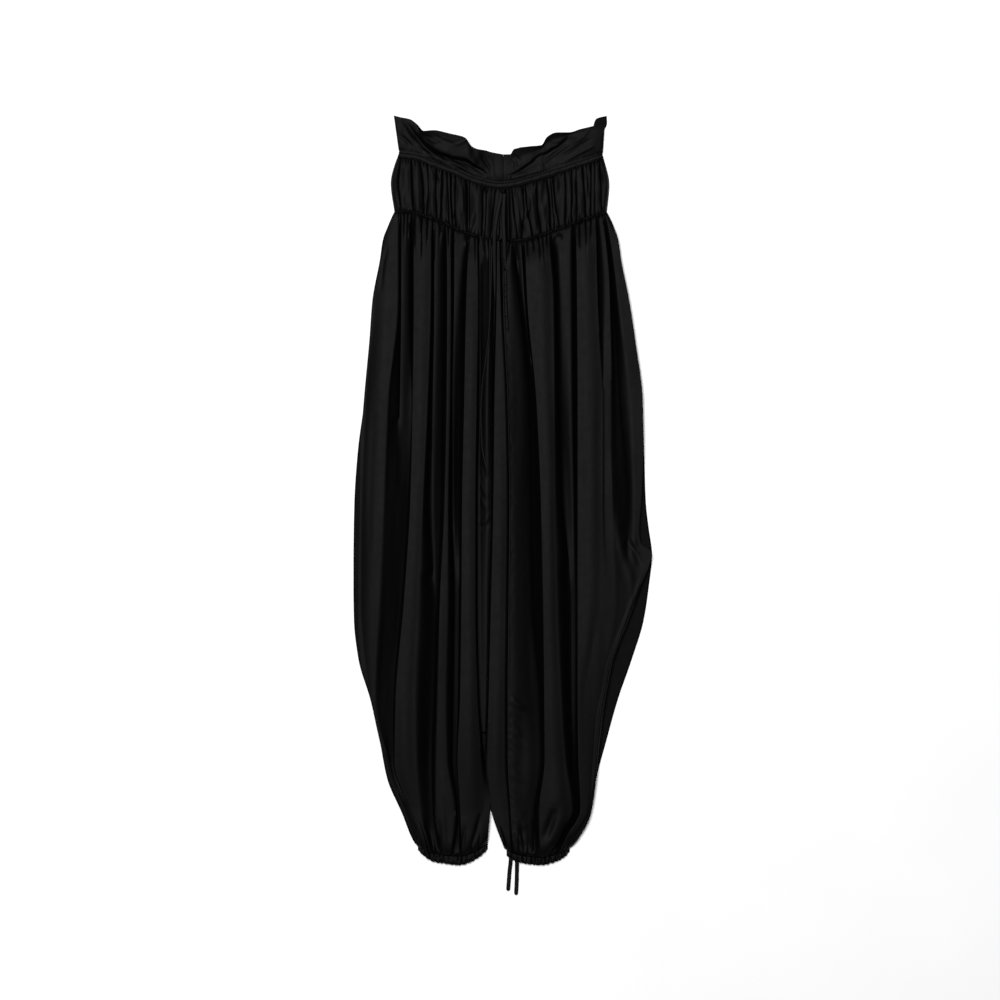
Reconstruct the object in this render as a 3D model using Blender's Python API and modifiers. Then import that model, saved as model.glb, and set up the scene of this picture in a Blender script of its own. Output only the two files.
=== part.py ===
"""Harem pants with a frilled drawstring waist, lying flat on their back.

The scene is in metres with +Z up. The waist points to +Y and the cuffs to -Y. The origin lies on
the surface under the garment, below the middle of its outline. Left and right are as seen from
above. All tables are in millimetres.

The under layer lies flat on the surface. The upper layer is a wall of cloth that rises over it in
folds: each fold is a line down the panel, given by its distance from the middle at nine stations
and by the height of the cloth's underside at four.
"""
from collections import namedtuple

import bmesh
import bpy
import numpy as np

MM = 0.001

# ---- Cloth ----
CLOTH = 1.2            # wall of the upper layer
UNDER_CLOTH = 1.8      # wall of the layer that lies on the surface
GAP = 0.3              # between two pieces, at a seam or one on the other
LAID = UNDER_CLOTH + GAP   # lowest underside of the upper layer
MARGIN = 1.6           # flat seam allowance beside an edge
FULLNESS = 1.3         # above 1, crests are broader than the grooves between them
STEPS = 2              # faces between a crest and the next groove
BLACK = (0.012, 0.012, 0.013, 1.0)

# ---- Places down the leg ----
WAIST, HIP, THIGH, CROTCH, KNEE, CALF, SHIN, ANKLE, CUFF = (
    356, 273, 129, -15, -159, -303, -389, -461, -518)
STATIONS = (WAIST, HIP, THIGH, CROTCH, KNEE, CALF, SHIN, ANKLE, CUFF)
HEIGHT_STATIONS = (310, THIGH, KNEE, ANKLE)
LEG_ROWS = (WAIST, WAIST - MARGIN, 340, 312, HIP, 225, 175, THIGH, 57, CROTCH, -87, KNEE, -231,
            CALF, -346, SHIN, -425, ANKLE, -492, CUFF + MARGIN, CUFF)
LEFT_GORE_END = -354   # below this the left gore is turned under
BENT_BELOW_WAIST = 225     # rows above this follow the curve of the elastic
BENT_ABOVE_CUFF = SHIN     # rows below this follow the curve of the cuff
RISE = 44              # a gathered edge swells to full folds over this length
SEAM_LEVEL_WAIST = 5.0     # underside of the cloth held by the elastic
SEAM_LEVEL_CUFF = 6.5
LEAST_FOLD = 2.4       # between the lines of two folds
CUFF_GAP = 0.7         # the puckered cuff hangs a little lower than its seam
LEGS_APART = 1.8       # between the two legs below the calf

Point = namedtuple("Point", "x y")
Outline = namedtuple("Outline", "y under_left left right under_right")
Fold = namedtuple("Fold", "name waist hip thigh crotch knee calf shin ankle cuff"
                          " hip_z thigh_z knee_z ankle_z")
Gather = namedtuple("Gather", "casing middle elastic crest_z")
Wave = namedtuple("Wave", "base edge_x edge_y ridge ridge_z groove groove_z flop_z edge_z")

ELASTIC = (Point(-156, 401), Point(-132, 401), Point(-119, 397), Point(-90, 387),
           Point(-62, 374), Point(-33, 365), Point(0, 359), Point(26, 360), Point(57, 368),
           Point(93, 381), Point(129, 394), Point(149, 400))
CASING = (Point(-151, 483.5), Point(-123, 479.5), Point(-105, 472), Point(-69, 458.5),
          Point(-33, 444), Point(-4, 438.8), Point(13, 440.5), Point(39, 447.5),
          Point(75, 458.5), Point(111, 470.5), Point(144, 481.3))
CUFF_TOP_LEFT = (Point(-123, -507), Point(-105, -522), Point(-79, -527), Point(-62, -528),
                 Point(-47, -523), Point(-33, -514), Point(-21, -501))
CUFF_END_LEFT = (Point(-123, -513), Point(-102, -535), Point(-79, -539), Point(-62, -540.5),
                 Point(-50, -537), Point(-36, -527), Point(-21, -511))
CUFF_TOP_RIGHT = (Point(3, -517), Point(22, -526), Point(44, -529), Point(57, -530),
                  Point(72, -526), Point(85, -519), Point(97, -507))
CUFF_END_RIGHT = (Point(3, -526), Point(22, -536), Point(44, -540), Point(57, -540.5),
                  Point(72, -537), Point(85, -530), Point(97, -516))

SIDES = (
    Outline(401, -155.9, -155.9, 149.4, 149.4),
    Outline(381, -164.5, -164.5, 158.8, 158.8),
    Outline(360, -172.4, -172.4, 166.0, 166.0),
    Outline(331, -176.8, -176.8, 170.3, 170.3),
    Outline(273, -187.6, -187.6, 181.8, 181.8),
    Outline(216, -191.9, -191.9, 190.4, 190.4),
    Outline(129, -199.8, -199.8, 201.2, 201.2),
    Outline(57, -209.2, -204.8, 203.4, 204.1),
    Outline(-15, -214.2, -205.6, 204.8, 206.3),
    Outline(-94, -215.6, -207.0, 214.2, 215.6),
    Outline(-141, -215.6, -207.7, 197.6, 210.6),
    Outline(-188, -214.9, -207.7, 180.4, 203.4),
    Outline(-245, -208.4, -204.1, 158.8, 186.1),
    Outline(-303, -191.2, -189.7, 147.2, 166.0),
    Outline(-360, -178.2, -177.5, 139.3, 150.1),
    Outline(-418, -166.7, -162.4, 133.6, 135.0),
    Outline(-468, -145.1, -140.8, 125.6, 127.1),
    Outline(-504, -130.7, -127.8, 106.9, 108.4),
    Outline(-518, -122.0, -121.3, 96.1, 96.8),
)

# ---- Folds of the left front, from its side seam to the middle ----
LEFT_FOLDS = (
    Fold("rim crest", -151, -180, -191, -197, -201, -186, -169, -138, -116.5, 9, 13, 12, 5),
    Fold("rim dip", -149, -167, -178, -187, -194, -180, -166, -136, -114, 7, 12, 12, 4),
    Fold("inner rim", -147, -157, -169, -175, -184, -172, -163, -133, -111.5, 10, 12, 11, 5),
    Fold("groove 1", -145, -148, -156, -152, -148, -160, -159, -130, -108, 2.6, 3, 3, 2.6),
    Fold("shoulder 1", -139, -141, -147, -144, -143, -155, -154, -127, -105, 7, 6, 8, 8),
    Fold("groove 2", -131, -131, -138, -136, -139, -149, -148, -124, -101, 2.6, 9, 12, 10),
    Fold("crest A", -116, -116, -119, -125, -132, -140, -139, -119, -98, 13, 16, 16, 14),
    Fold("groove 3", -102, -101, -105, -110, -116, -121, -123, -110, -94, 2.8, 3, 13, 11),
    Fold("shoulder 2", -95, -94, -96, -98, -105, -111, -113, -105, -90, 10, 9, 10, 9),
    Fold("groove 4", -86, -85, -85, -89, -95, -101, -103, -99, -85, 2.6, 2.6, 3, 4),
    Fold("crest B", -79, -78, -79, -81, -85, -88, -88, -83, -80, 11, 12, 15, 14),
    Fold("groove 5", -72, -72, -74, -75, -73, -76, -77, -70, -75, 2.6, 2.6, 2.8, 3),
    Fold("shoulder 3", -62, -64, -67, -69, -67, -71, -72, -66, -69, 9, 8, 3, 3),
    Fold("groove 6", -53, -55, -59, -62, -61, -66, -67, -61, -62, 2.6, 2.6, 2.6, 2.6),
    Fold("crest C", -44, -44, -46, -49, -49, -49, -47, -41, -44, 12, 14, 17, 16),
)

# ---- Folds of the right front, from the middle to its side seam ----
RIGHT_FOLDS = (
    Fold("shoulder 4", 17, 12, 20, 26, 23, 23, 21, 23, 23, 9, 10, 10, 12),
    Fold("groove 7", 28, 21, 36, 51, 49, 54, 55, 47, 44, 2.8, 3, 5, 2.8),
    Fold("shoulder 5", 35, 28, 41, 56, 54, 59, 61, 54, 49, 9, 4, 8, 8),
    Fold("groove 8", 41, 33, 46, 60, 60, 64, 67, 61, 53, 2.6, 6, 12, 12),
    Fold("crest D", 54, 54, 61, 67, 69, 74, 77, 75, 58, 13, 16, 16, 15),
    Fold("groove 9", 68, 77, 80, 89, 97, 95, 98, 99, 63, 2.6, 2.6, 2.6, 2.8),
    Fold("shoulder 6", 84, 90, 93, 97, 101, 99, 102, 103, 67, 10, 8, 3.2, 3.2),
    Fold("groove 10", 98, 103, 104, 105, 107, 104, 106, 107, 72, 2.6, 2.6, 2.8, 2.8),
    Fold("crest E", 117, 121, 129, 129, 134, 121, 116, 112, 76, 14, 17, 18, 13),
    Fold("groove 11", 132, 140, 144, 144, 150, 128, 122, 115, 80, 3, 16, 16, 11),
    Fold("shoulder 7", 136, 148, 156, 157, 162, 134, 126, 118, 84, 9, 14, 13.5, 9),
    Fold("groove 12", 140, 156, 169, 170, 172, 139, 130, 121, 87, 2.6, 6, 10, 7),
    Fold("rim crest", 143.5, 170, 189, 190, 183, 143, 134, 124, 91, 8, 12, 6.5, 4.5),
)

# ---- Seams between the fronts and the two narrow gores ----
LEFT_INNER_SEAM = Fold("left front edge", -35.6, -34.2, -34.2, -36.8, -37.1, -34.2, -27.0,
                       -18.8, -22.2, 3, 3, 3, LAID)
GORE_SEAM = Fold("left gore edge", -15.5, -14.0, -14.6, -15.5, -19.5, -22.7, -26.1, -26.1,
                 -26.1, 6.4, 6.4, 3, 3)
RIDGE_LEFT = Fold("right gore, left edge", -9.0, -10.4, -13.9, -14.9, -19.0, -22.2, -25.0,
                  -16.6, 2.5, 6.4, 6.4, 3, LAID)
RIDGE_RIGHT = Fold("right gore, right edge", -4.0, -0.8, 5.7, 8.3, 7.1, 5.7, 5.8, 10.0, 13.8,
                   6.4, 6.4, 6.4, 6.4)
RIGHT_INNER_SEAM = Fold("right front edge", 9.7, 0.2, 6.4, 9.0, 7.8, 6.4, 6.5, 10.7, 14.5,
                        6.4, 6.4, 6.4, 6.4)
UNDER_SEAM = Fold("between the under legs", -11, -12, -14, -20, -25, -29, -27, -18.8, -22.2,
                  0, 0, 0, 0)
LEFT_GORE_FOLDS = (
    Fold("gore crest", -18.5, -17.9, -29.0, -24.1, -27.7, -28.7, -27.0, -27.0, -27.0,
         8.5, 8.5, 7, 5),
)
RIDGE_FOLDS = (
    Fold("ridge, left crest", -7.0, -7.0, -8.0, -8.0, -12.0, -14.0, -16.0, -9.0, 6.5,
         10, 15, 15.5, 13),
    Fold("ridge, right crest", -5.8, -3.8, 0.0, 2.0, 1.0, -1.0, -2.0, 4.0, 9.5,
         10, 15, 15.5, 13),
)

# ---- Gathers of the yoke: each row is a groove and the crest before it ----
YOKE_DEPTH_AT_CASING = 5.6     # flat stretch under the casing
YOKE_SWELL = 16.0              # the gathers are full this far from the casing's middle
YOKE_GROOVE_Z = 2.6
YOKE_LEFT_EDGE = Gather(-151, -161, -155.9, 0)
YOKE_SLIT_LEFT = Gather(3.8, 4.8, 5.6, 5.0)
YOKE_SLIT_RIGHT = Gather(4.1, 5.1, 5.9, 0)
YOKE_RIGHT_EDGE = Gather(144.4, 153, 149.4, 5.5)
YOKE_LEFT_GATHERS = (
    Gather(-144, -148, -147, 6.5), Gather(-132, -132, -131, 8.0), Gather(-118, -116, -114, 9.0),
    Gather(-111, -109, -107, 6.0), Gather(-103, -99, -96, 8.0), Gather(-89, -88, -88, 8.5),
    Gather(-82, -81, -79, 6.5), Gather(-72, -70, -68, 7.5), Gather(-53, -52, -51, 9.0),
    Gather(-33, -29, -28, 9.0), Gather(-21, -20, -18, 7.0), Gather(-8, -9.5, -11, 6.0),
)
YOKE_RIGHT_GATHERS = (
    Gather(12, 17, 21, 7.0), Gather(28, 29, 33, 8.5), Gather(45, 50, 54, 9.0),
    Gather(62, 67, 71, 9.0), Gather(77, 78, 80, 8.0), Gather(88, 91, 93, 8.0),
    Gather(101, 102.5, 104, 7.5), Gather(114, 116, 117, 8.0), Gather(133, 132, 131, 9.0),
    Gather(139, 143, 138, 6.0),
)

# ---- Casing: an arched band over the seam between the yoke and the frill ----
CASING_WIDTH = 8.6
CASING_PIECES = 26             # along the band
CASING_LEVEL = 3.0             # underside of the flat cloth below the band
CASING_LEVEL_RUN = 12.0        # it drops to the under layer this near a side
CASING_ARCH = (Point(-3.2, 0.0), Point(-2.3, 2.2), Point(0.0, 3.4), Point(2.3, 2.2),
               Point(3.2, 0.0))   # across the band, and up

# ---- Waves of the frill: places along it are shares of the way from casing to edge ----
FRILL_LEFT = (
    Wave(-148.7, -156.6, 539.6, 0.35, LAID, 0.70, LAID, LAID, LAID),
    Wave(-147.1, -155.0, 539.2, 0.35, LAID, 0.70, LAID, LAID, LAID),
    Wave(-142.2, -146.5, 536.8, 0.40, 8.0, 0.75, 9.0, 10.0, 9.0),
    Wave(-132.1, -133.6, 533.9, 0.45, 12.0, 0.85, 8.0, 8.0, 8.0),
    Wave(-120.6, -123.5, 526.7, 0.42, 13.0, 0.72, 3.0, 6.0, 8.0),
    Wave(-107.6, -113.4, 516.6, 0.28, 11.0, 0.55, 2.6, 12.0, 15.0),
    Wave(-93.2, -99.0, 517.2, 0.17, 8.0, 0.35, 2.6, 17.0, 17.0),
    Wave(-73.1, -76.0, 512.3, 0.16, 7.0, 0.33, 2.6, 20.0, 18.0),
    Wave(-51.5, -54.4, 506.5, 0.18, 7.0, 0.40, 2.6, 19.0, 16.0),
    Wave(-37.1, -45.7, 495.0, 0.20, 6.0, 0.42, 2.6, 15.0, 12.0),
    Wave(-28.4, -35.6, 490.7, 0.18, 5.0, 0.38, 2.8, 10.0, 10.0),
    Wave(-19.8, -25.6, 489.2, 0.16, 4.0, 0.26, 3.0, 9.0, 9.0),
    Wave(-12.6, -15.5, 486.4, 0.16, 4.0, 0.26, 3.4, 8.0, 7.0),
    Wave(-1.0, -1.0, 483.5, 0.16, 4.0, 0.30, 5.0, 6.5, 6.0),
    Wave(0.6, 0.6, 483.5, 0.16, 4.0, 0.30, 5.0, 6.5, 6.0),
)
FRILL_RIGHT = (
    Wave(0.9, 0.9, 483.5, 0.16, 4.0, 0.30, 5.0, 6.5, 6.0),
    Wave(2.5, 2.5, 483.5, 0.16, 4.0, 0.30, 5.0, 6.5, 6.0),
    Wave(10.4, 10.4, 483.5, 0.16, 4.0, 0.26, 3.0, 7.0, 7.0),
    Wave(16.2, 16.2, 490.7, 0.16, 4.5, 0.28, 2.6, 8.0, 11.0),
    Wave(26.3, 26.3, 492.8, 0.20, 6.0, 0.34, 2.6, 9.0, 10.0),
    Wave(40.7, 40.7, 495.0, 0.25, 8.0, 0.49, 2.6, 8.0, 10.0),
    Wave(55.1, 55.1, 496.4, 0.35, 10.0, 0.67, 3.0, 6.0, 7.0),
    Wave(63.7, 63.7, 508.0, 0.30, 11.0, 0.56, 2.6, 12.0, 13.0),
    Wave(76.7, 76.7, 514.4, 0.32, 12.0, 0.60, 2.6, 12.0, 13.0),
    Wave(96.8, 96.8, 515.2, 0.45, 14.0, 0.84, 6.0, 8.0, 9.0),
    Wave(111.2, 111.2, 519.5, 0.45, 12.0, 0.70, 9.0, 11.0, 10.0),
    Wave(128.5, 128.5, 523.8, 0.30, 7.0, 0.60, 6.0, 12.0, 10.0),
    Wave(137.2, 140.0, 526.7, 0.30, 6.0, 0.60, 7.0, 8.0, 7.0),
    Wave(142.0, 144.9, 526.7, 0.30, LAID, 0.60, LAID, LAID, LAID),
    Wave(143.6, 146.5, 526.7, 0.30, LAID, 0.60, LAID, LAID, LAID),
)
FRILL_UNDER_EDGE = (
    Point(-157.5, 537), Point(-157, 540.5), Point(-145, 537), Point(-132, 531),
    Point(-121, 514), Point(-99, 514), Point(-76, 509), Point(-53, 502), Point(-43, 488),
    Point(-24, 486), Point(-11, 481), Point(12, 481), Point(23, 494), Point(41, 496),
    Point(57, 498), Point(67, 507), Point(78, 512), Point(97, 512), Point(111, 517),
    Point(129, 521), Point(131, 531), Point(134, 535), Point(147, 540), Point(150, 538),
    Point(151, 531), Point(146, 518), Point(141, 504),
)

# ---- Cuffs: where the grooves between their gathers lie ----
CUFF_GROOVE_Z = 6.4
CUFF_CREST_Z = 9.0
CUFF_LEFT_GROOVES = (-112, -105, -97, -89, -81, -72, -65, -56, -48, -40, -31)
CUFF_RIGHT_GROOVES = (26, 33, 41, 50, 57, 65, 73, 81, 88)
CUFF_RIGHT_FIRST_CREST = 15    # the cord's ends leave the cuff below this crest

# ---- Drawstring: a knot under the casing and two tails, x, y and height of the cord's middle ----
CORD = 3.6
KNOT = (0.0, 430.4, 9.6)
KNOT_SIZE = (8.0, 6.6, 5.4)
LEFT_TAIL = (
    (-2.3, 426.4, 9.6), (-5.0, 412, 10.6), (-9.6, 388, 11.0), (-12.2, 367, 10.6),
    (-12.4, 345, 8.2), (-12.0, 322, 5.4), (-11.0, 297, 4.1), (-7.0, 230, 4.0),
    (-5.0, 129, 4.0), (-3.2, -44, 4.0), (-1.1, -216, 4.0), (3.2, -389, 4.0),
    (11.0, -500, 4.1), (11.6, -530, 4.1), (9.6, -552, 2.4), (7.6, -579, 2.2),
)
RIGHT_TAIL = (
    (2.3, 426.4, 9.6), (1.4, 412, 9.8), (0.9, 388, 10.0), (1.8, 367, 9.8),
    (2.3, 345, 7.8), (2.2, 322, 5.2), (2.0, 297, 4.1), (5.6, 230, 4.0),
    (10.5, 129, 4.0), (13.5, -44, 4.0), (15.0, -216, 4.0), (17.6, -389, 4.0),
    (20.0, -500, 4.1), (20.4, -533, 4.1), (20.2, -558, 2.4), (19.1, -585, 2.2),
)
TAIL_SHARES = np.concatenate((np.linspace(0.0, 0.14, 13), np.linspace(0.18, 0.86, 14),
                              np.linspace(0.89, 1.0, 12)))   # closer points where it bends


# ---- Curves ----
def smooth_through(knots, values, at):
    """A smooth curve through the knots that never swings past them (monotone cubic)."""
    knots, values = np.asarray(knots, float), np.asarray(values, float)
    at = np.clip(np.asarray(at, float), knots[0], knots[-1])
    steps = np.diff(knots)
    slopes = np.diff(values) / steps
    tangents = np.concatenate((slopes[:1], np.zeros(len(values) - 2), slopes[-1:]))
    for i in range(1, len(values) - 1):
        before, after = slopes[i - 1], slopes[i]
        if before * after > 0:
            near, far = 2 * steps[i] + steps[i - 1], steps[i] + 2 * steps[i - 1]
            tangents[i] = (near + far) / (near / before + far / after)
    i = np.clip(np.searchsorted(knots, at, side="right") - 1, 0, len(steps) - 1)
    t = (at - knots[i]) / steps[i]
    start, end = values[i], values[i + 1]
    return (start + (end - start) * (3 - 2 * t) * t**2
            + steps[i] * t * (1 - t) * (tangents[i] * (1 - t) - tangents[i + 1] * t))


def ease(t):
    """0 up to t = 0, 1 from t = 1, and smooth in between."""
    t = np.clip(t, 0.0, 1.0)
    return t * t * (3 - 2 * t)


def along(points, x):
    """Height on the page of a line of points, at x."""
    return smooth_through([p.x for p in points], [p.y for p in points], x)


def beside(points, first_x, last_x, offset):
    """Points beside a seam line. Every piece that meets the seam uses the same ones."""
    places = (*np.arange(points[0].x, points[-1].x - 2, 8.0), points[-1].x)
    inner = [x for x in places if first_x < x < last_x]
    return [(x, float(along(points, x)) + offset) for x in (first_x, *inner, last_x)]


def side(column, y):
    """One of the side outlines, at y."""
    rows = SIDES[::-1]
    return smooth_through([row.y for row in rows], [getattr(row, column) for row in rows], y)


def fold_x(fold, station):
    return smooth_through(STATIONS[::-1], fold[1:10][::-1], station)


def fold_z(fold, station):
    return smooth_through(HEIGHT_STATIONS[::-1], fold[10:14][::-1], station)


def bent_row(station, x, cuff):
    """Where a cross-section lies at x: it follows the elastic at the top and the cuff below."""
    to_waist = ease((station - BENT_BELOW_WAIST) / (WAIST - BENT_BELOW_WAIST))
    to_cuff = ease((BENT_ABOVE_CUFF - station) / (BENT_ABOVE_CUFF - CUFF))
    return (station + (along(ELASTIC, x) - WAIST) * to_waist
            + (along(cuff, x) - CUFF) * to_cuff)


# ---- Shapes ----
def cross_section(knots_x, knots_z, steps=STEPS):
    """Points from edge to edge through crests and grooves, with a flat margin at both ends."""
    margin = min(MARGIN, (knots_x[-1] - knots_x[0]) / 5)
    knots_x = np.array([knots_x[0], knots_x[0] + margin, *knots_x[1:-1],
                        knots_x[-1] - margin, knots_x[-1]])
    knots_z = np.array([knots_z[0], knots_z[0], *knots_z[1:-1], knots_z[-1], knots_z[-1]])
    x = [knots_x[0]]
    for left, right in zip(knots_x[1:-2], knots_x[2:-1]):
        x += list(np.linspace(left, right, steps, endpoint=False))
    x = np.array(x + [knots_x[-2], knots_x[-1]])
    swollen = (np.maximum(knots_z, LAID) - LAID) ** FULLNESS
    z = LAID + np.maximum(smooth_through(knots_x, swollen, x), 0) ** (1 / FULLNESS)
    return x, z


def leg_heights(folds, station):
    """Heights of the fold lines: level at the elastic and the cuff, full further away."""
    z = np.array([fold_z(fold, station) for fold in folds])
    if station > (WAIST + CUFF) / 2:
        level, rise = SEAM_LEVEL_WAIST, ease((WAIST - MARGIN - station) / RISE)
    else:
        level, rise = SEAM_LEVEL_CUFF, ease((station - CUFF - MARGIN) / RISE)
    return level + (z - level) * rise


def side_by_side(x):
    """Fold lines that run together keep a least distance, from both edges inward."""
    least = min(LEAST_FOLD, (x[-1] - x[0]) / len(x))
    for i in range(len(x) - 2, 0, -1):
        x[i] = min(x[i], x[i + 1] - least)
    for i in range(1, len(x) - 1):
        x[i] = max(x[i], x[i - 1] + least)
    return x


def leg_front(edges, folds, rows, cuff):
    """Grid of points of a front piece: edges(station) gives its left and right x and z."""
    grid = []
    for station in rows:
        left, right = edges(station)
        lines = [left[0], *(float(fold_x(fold, station)) for fold in folds), right[0]]
        knots_x = side_by_side(lines)
        x, z = cross_section(knots_x, [left[1], *leg_heights(folds, station), right[1]])
        grid.append(np.stack((x, bent_row(station, x, cuff), z), axis=1))
    return np.array(grid)


def seam_point(fold, station):
    """Place and height of a seam. An inner edge below the crotch lies on the under layer."""
    on_under_layer = fold.ankle_z == LAID and station < KNEE
    z = fold_z(fold, station) if on_under_layer else leg_heights([fold], station)[0]
    return float(fold_x(fold, station)), float(z)


def side_point(column, station, cuff):
    outermost = -200 if "left" in column else 200
    return float(side(column, bent_row(station, outermost, cuff))), LAID


def ridge_left_x(station):
    """The right gore keeps clear of the left front and its gore."""
    apart = GAP if station > SHIN else LEGS_APART
    left = float(fold_x(LEFT_INNER_SEAM, station))
    return max(float(fold_x(RIDGE_LEFT, station)), left + apart)


def under_right_x(station):
    """The right under leg keeps clear of the left one."""
    left = float(fold_x(UNDER_SEAM, station))
    if station > SHIN:
        return left + GAP
    return max(left + LEGS_APART, float(fold_x(RIDGE_LEFT, station)))


def yoke_grid(first, gathers, last, last_crest_z):
    """Grid of points of one half of the yoke, from the casing's middle to the elastic."""
    length = along(CASING, 0) - along(ELASTIC, 0)
    shares = (0, YOKE_DEPTH_AT_CASING / length, YOKE_SWELL / length, 0.5,
              1 - YOKE_SWELL / length, 1 - MARGIN / length, 1)
    lines = [first]
    heights = [side_height(first)]
    for gather in gathers:
        before = lines[-1]
        lines.append(halfway(before, gather))
        heights.append(gather.crest_z)
        lines.append(gather)
        heights.append(YOKE_GROOVE_Z)
    lines += [halfway(lines[-1], last), last]
    heights += [last_crest_z, side_height(last)]
    heights = np.array(heights)
    grid = []
    for share in shares:
        knots_x = [float(smooth_through((0, 0.5, 1), line[:3], share)) for line in lines]
        low_top = casing_level(np.array(knots_x))
        low_end = np.full(len(heights), SEAM_LEVEL_WAIST)
        low_end[[0, -1]] = [LAID if abs(line.casing) > 100 else SEAM_LEVEL_WAIST
                            for line in (first, last)]
        from_top = ease((share * length - YOKE_DEPTH_AT_CASING)
                        / (YOKE_SWELL - YOKE_DEPTH_AT_CASING))
        from_end = ease((1 - share) * length / YOKE_SWELL)
        flat = low_top if share < 0.5 else low_end
        full = from_top if share < 0.5 else from_end
        x, z = cross_section(knots_x, flat + (heights - flat) * full)
        if share * length <= YOKE_DEPTH_AT_CASING:
            z = casing_level(x)
        top, end = along(CASING, x) - GAP / 2, along(ELASTIC, x) + GAP
        grid.append(np.stack((x, top + (end - top) * share, z), axis=1))
    return np.array(grid)


def side_height(line):
    """A yoke edge lies on the under layer at the sides and low in the slit at the middle."""
    return LAID if abs(line.casing) > 100 else YOKE_GROOVE_Z


def halfway(a, b):
    return Gather((a.casing + b.casing) / 2, (a.middle + b.middle) / 2,
                  (a.elastic + b.elastic) / 2, 0)


def casing_level(x):
    """Underside of the cloth that passes below the casing."""
    from_side = np.minimum(x - CASING[0].x, CASING[-1].x - x)
    return LAID + (CASING_LEVEL - LAID) * ease(from_side / CASING_LEVEL_RUN)


def casing_grid(first_x, last_x, pieces):
    """The arched band: rows along it, points across it."""
    x = np.linspace(first_x, last_x, pieces + 1)
    middle = along(CASING, x)
    slope = np.gradient(middle, x)
    length = np.hypot(1, slope)
    foot = casing_level(x) + CLOTH + GAP
    rows = [np.stack((x - slope / length * p.x, middle + p.x / length, foot + p.y), axis=1)
            for p in CASING_ARCH[::-1]]
    return np.array(rows)


def frill_grid(waves):
    """Grid of points of half the frill: columns along it, rows from its edge to the casing."""
    index = np.arange(len(waves))
    fine = np.unique(np.concatenate((index[[0, 1, -2, -1]],
                                     np.arange(1, len(waves) - 2 + 0.01, 1 / STEPS))))
    base, edge_x, edge_y, ridge, ridge_z, groove, groove_z, flop_z, edge_z = (
        smooth_through(index, column, fine) for column in zip(*waves))
    base_y = along(CASING, base) + GAP / 2
    length = np.hypot(edge_x - base, edge_y - base_y)
    columns = []
    for i in range(len(fine)):
        flat = YOKE_DEPTH_AT_CASING / length[i]
        level = float(casing_level(base[i]))
        shares = (0, flat, ridge[i], groove[i], (groove[i] + 1) / 2, 1)
        heights = (level, level, ridge_z[i], groove_z[i], flop_z[i], edge_z[i])
        along_it = [0, flat]
        for start, end in zip(shares[1:-1], shares[2:]):
            along_it += list(np.linspace(start, end, STEPS + 1)[1:])
        along_it = np.array(along_it)
        z = smooth_through(shares, heights, along_it)
        x = base[i] + (edge_x[i] - base[i]) * along_it
        y = base_y[i] + (edge_y[i] - base_y[i]) * along_it
        columns.append(np.stack((x, y, z), axis=1)[::-1])
    return np.array(columns).transpose(1, 0, 2)


def cuff_grid(first_x, grooves, last_x, top, end, first_z=LAID, first_crest=None):
    """Grid of points of a cuff's upper side: a crest between each two grooves."""
    lines = [first_x]
    heights = [first_z]
    for groove in (*grooves, last_x):
        crest = (lines[-1] + groove) / 2
        if len(lines) == 1 and first_crest:
            crest = first_crest
        lines += [crest, groove]
        heights += [CUFF_CREST_Z, CUFF_GROOVE_Z]
    heights[-1] = LAID
    low = np.full(len(heights), SEAM_LEVEL_CUFF)
    low[[0, -1]] = heights[0], heights[-1]
    grid = []
    for share in (0, 0.2, 0.6, 1):
        full = ease(share / 0.6)
        x, z = cross_section(lines, low + (np.array(heights) - low) * full)
        upper, lower = along(top, x) - CUFF_GAP, along(end, x)
        grid.append(np.stack((x, upper + (lower - upper) * share, z), axis=1))
    return np.array(grid)


# ---- Objects ----
def cloth_material(name, roughness=0.5):
    material = bpy.data.materials.new(name)
    material.use_nodes = True
    shader = material.node_tree.nodes["Principled BSDF"]
    shader.inputs["Base Color"].default_value = BLACK
    shader.inputs["Roughness"].default_value = roughness
    shader.inputs["Metallic"].default_value = 0.0
    material.diffuse_color = BLACK
    return material


def place(name, data, collection, roughness=0.5):
    thing = bpy.data.objects.new(name, data)
    thing.data.materials.append(cloth_material(name + " cloth", roughness))
    collection.objects.link(thing)
    return thing


def draped_piece(name, grid, collection, wall=CLOTH):
    """A grid bent through the given points, made into a wall that grows upward from them."""
    rows, columns = grid.shape[:2]
    shape = bmesh.new()
    bmesh.ops.create_grid(shape, x_segments=columns - 1, y_segments=rows - 1, size=0.5)
    for vertex in shape.verts:
        column = round((vertex.co.x + 0.5) * (columns - 1))
        row = round((0.5 - vertex.co.y) * (rows - 1))
        vertex.co = grid[row, column] * MM
    mesh = bpy.data.meshes.new(name)
    shape.to_mesh(mesh)
    shape.free()
    mesh.shade_smooth()
    thing = place(name, mesh, collection)
    solidify = thing.modifiers.new("Wall", "SOLIDIFY")
    solidify.thickness = wall * MM
    solidify.offset = 1.0
    return thing


def flat_piece(name, outline, collection, wall=UNDER_CLOTH):
    """A flat outline with a wall, lying on the surface."""
    curve = bpy.data.curves.new(name, "CURVE")
    curve.dimensions = "2D"
    curve.fill_mode = "BOTH"
    curve.extrude = wall * MM / 2
    spline = curve.splines.new("POLY")
    spline.points.add(len(outline) - 1)
    for point, (x, y) in zip(spline.points, outline):
        point.co = (x * MM, y * MM, 0, 1)
    spline.use_cyclic_u = True
    thing = place(name, curve, collection)
    thing.location.z = wall * MM / 2
    return thing


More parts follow.
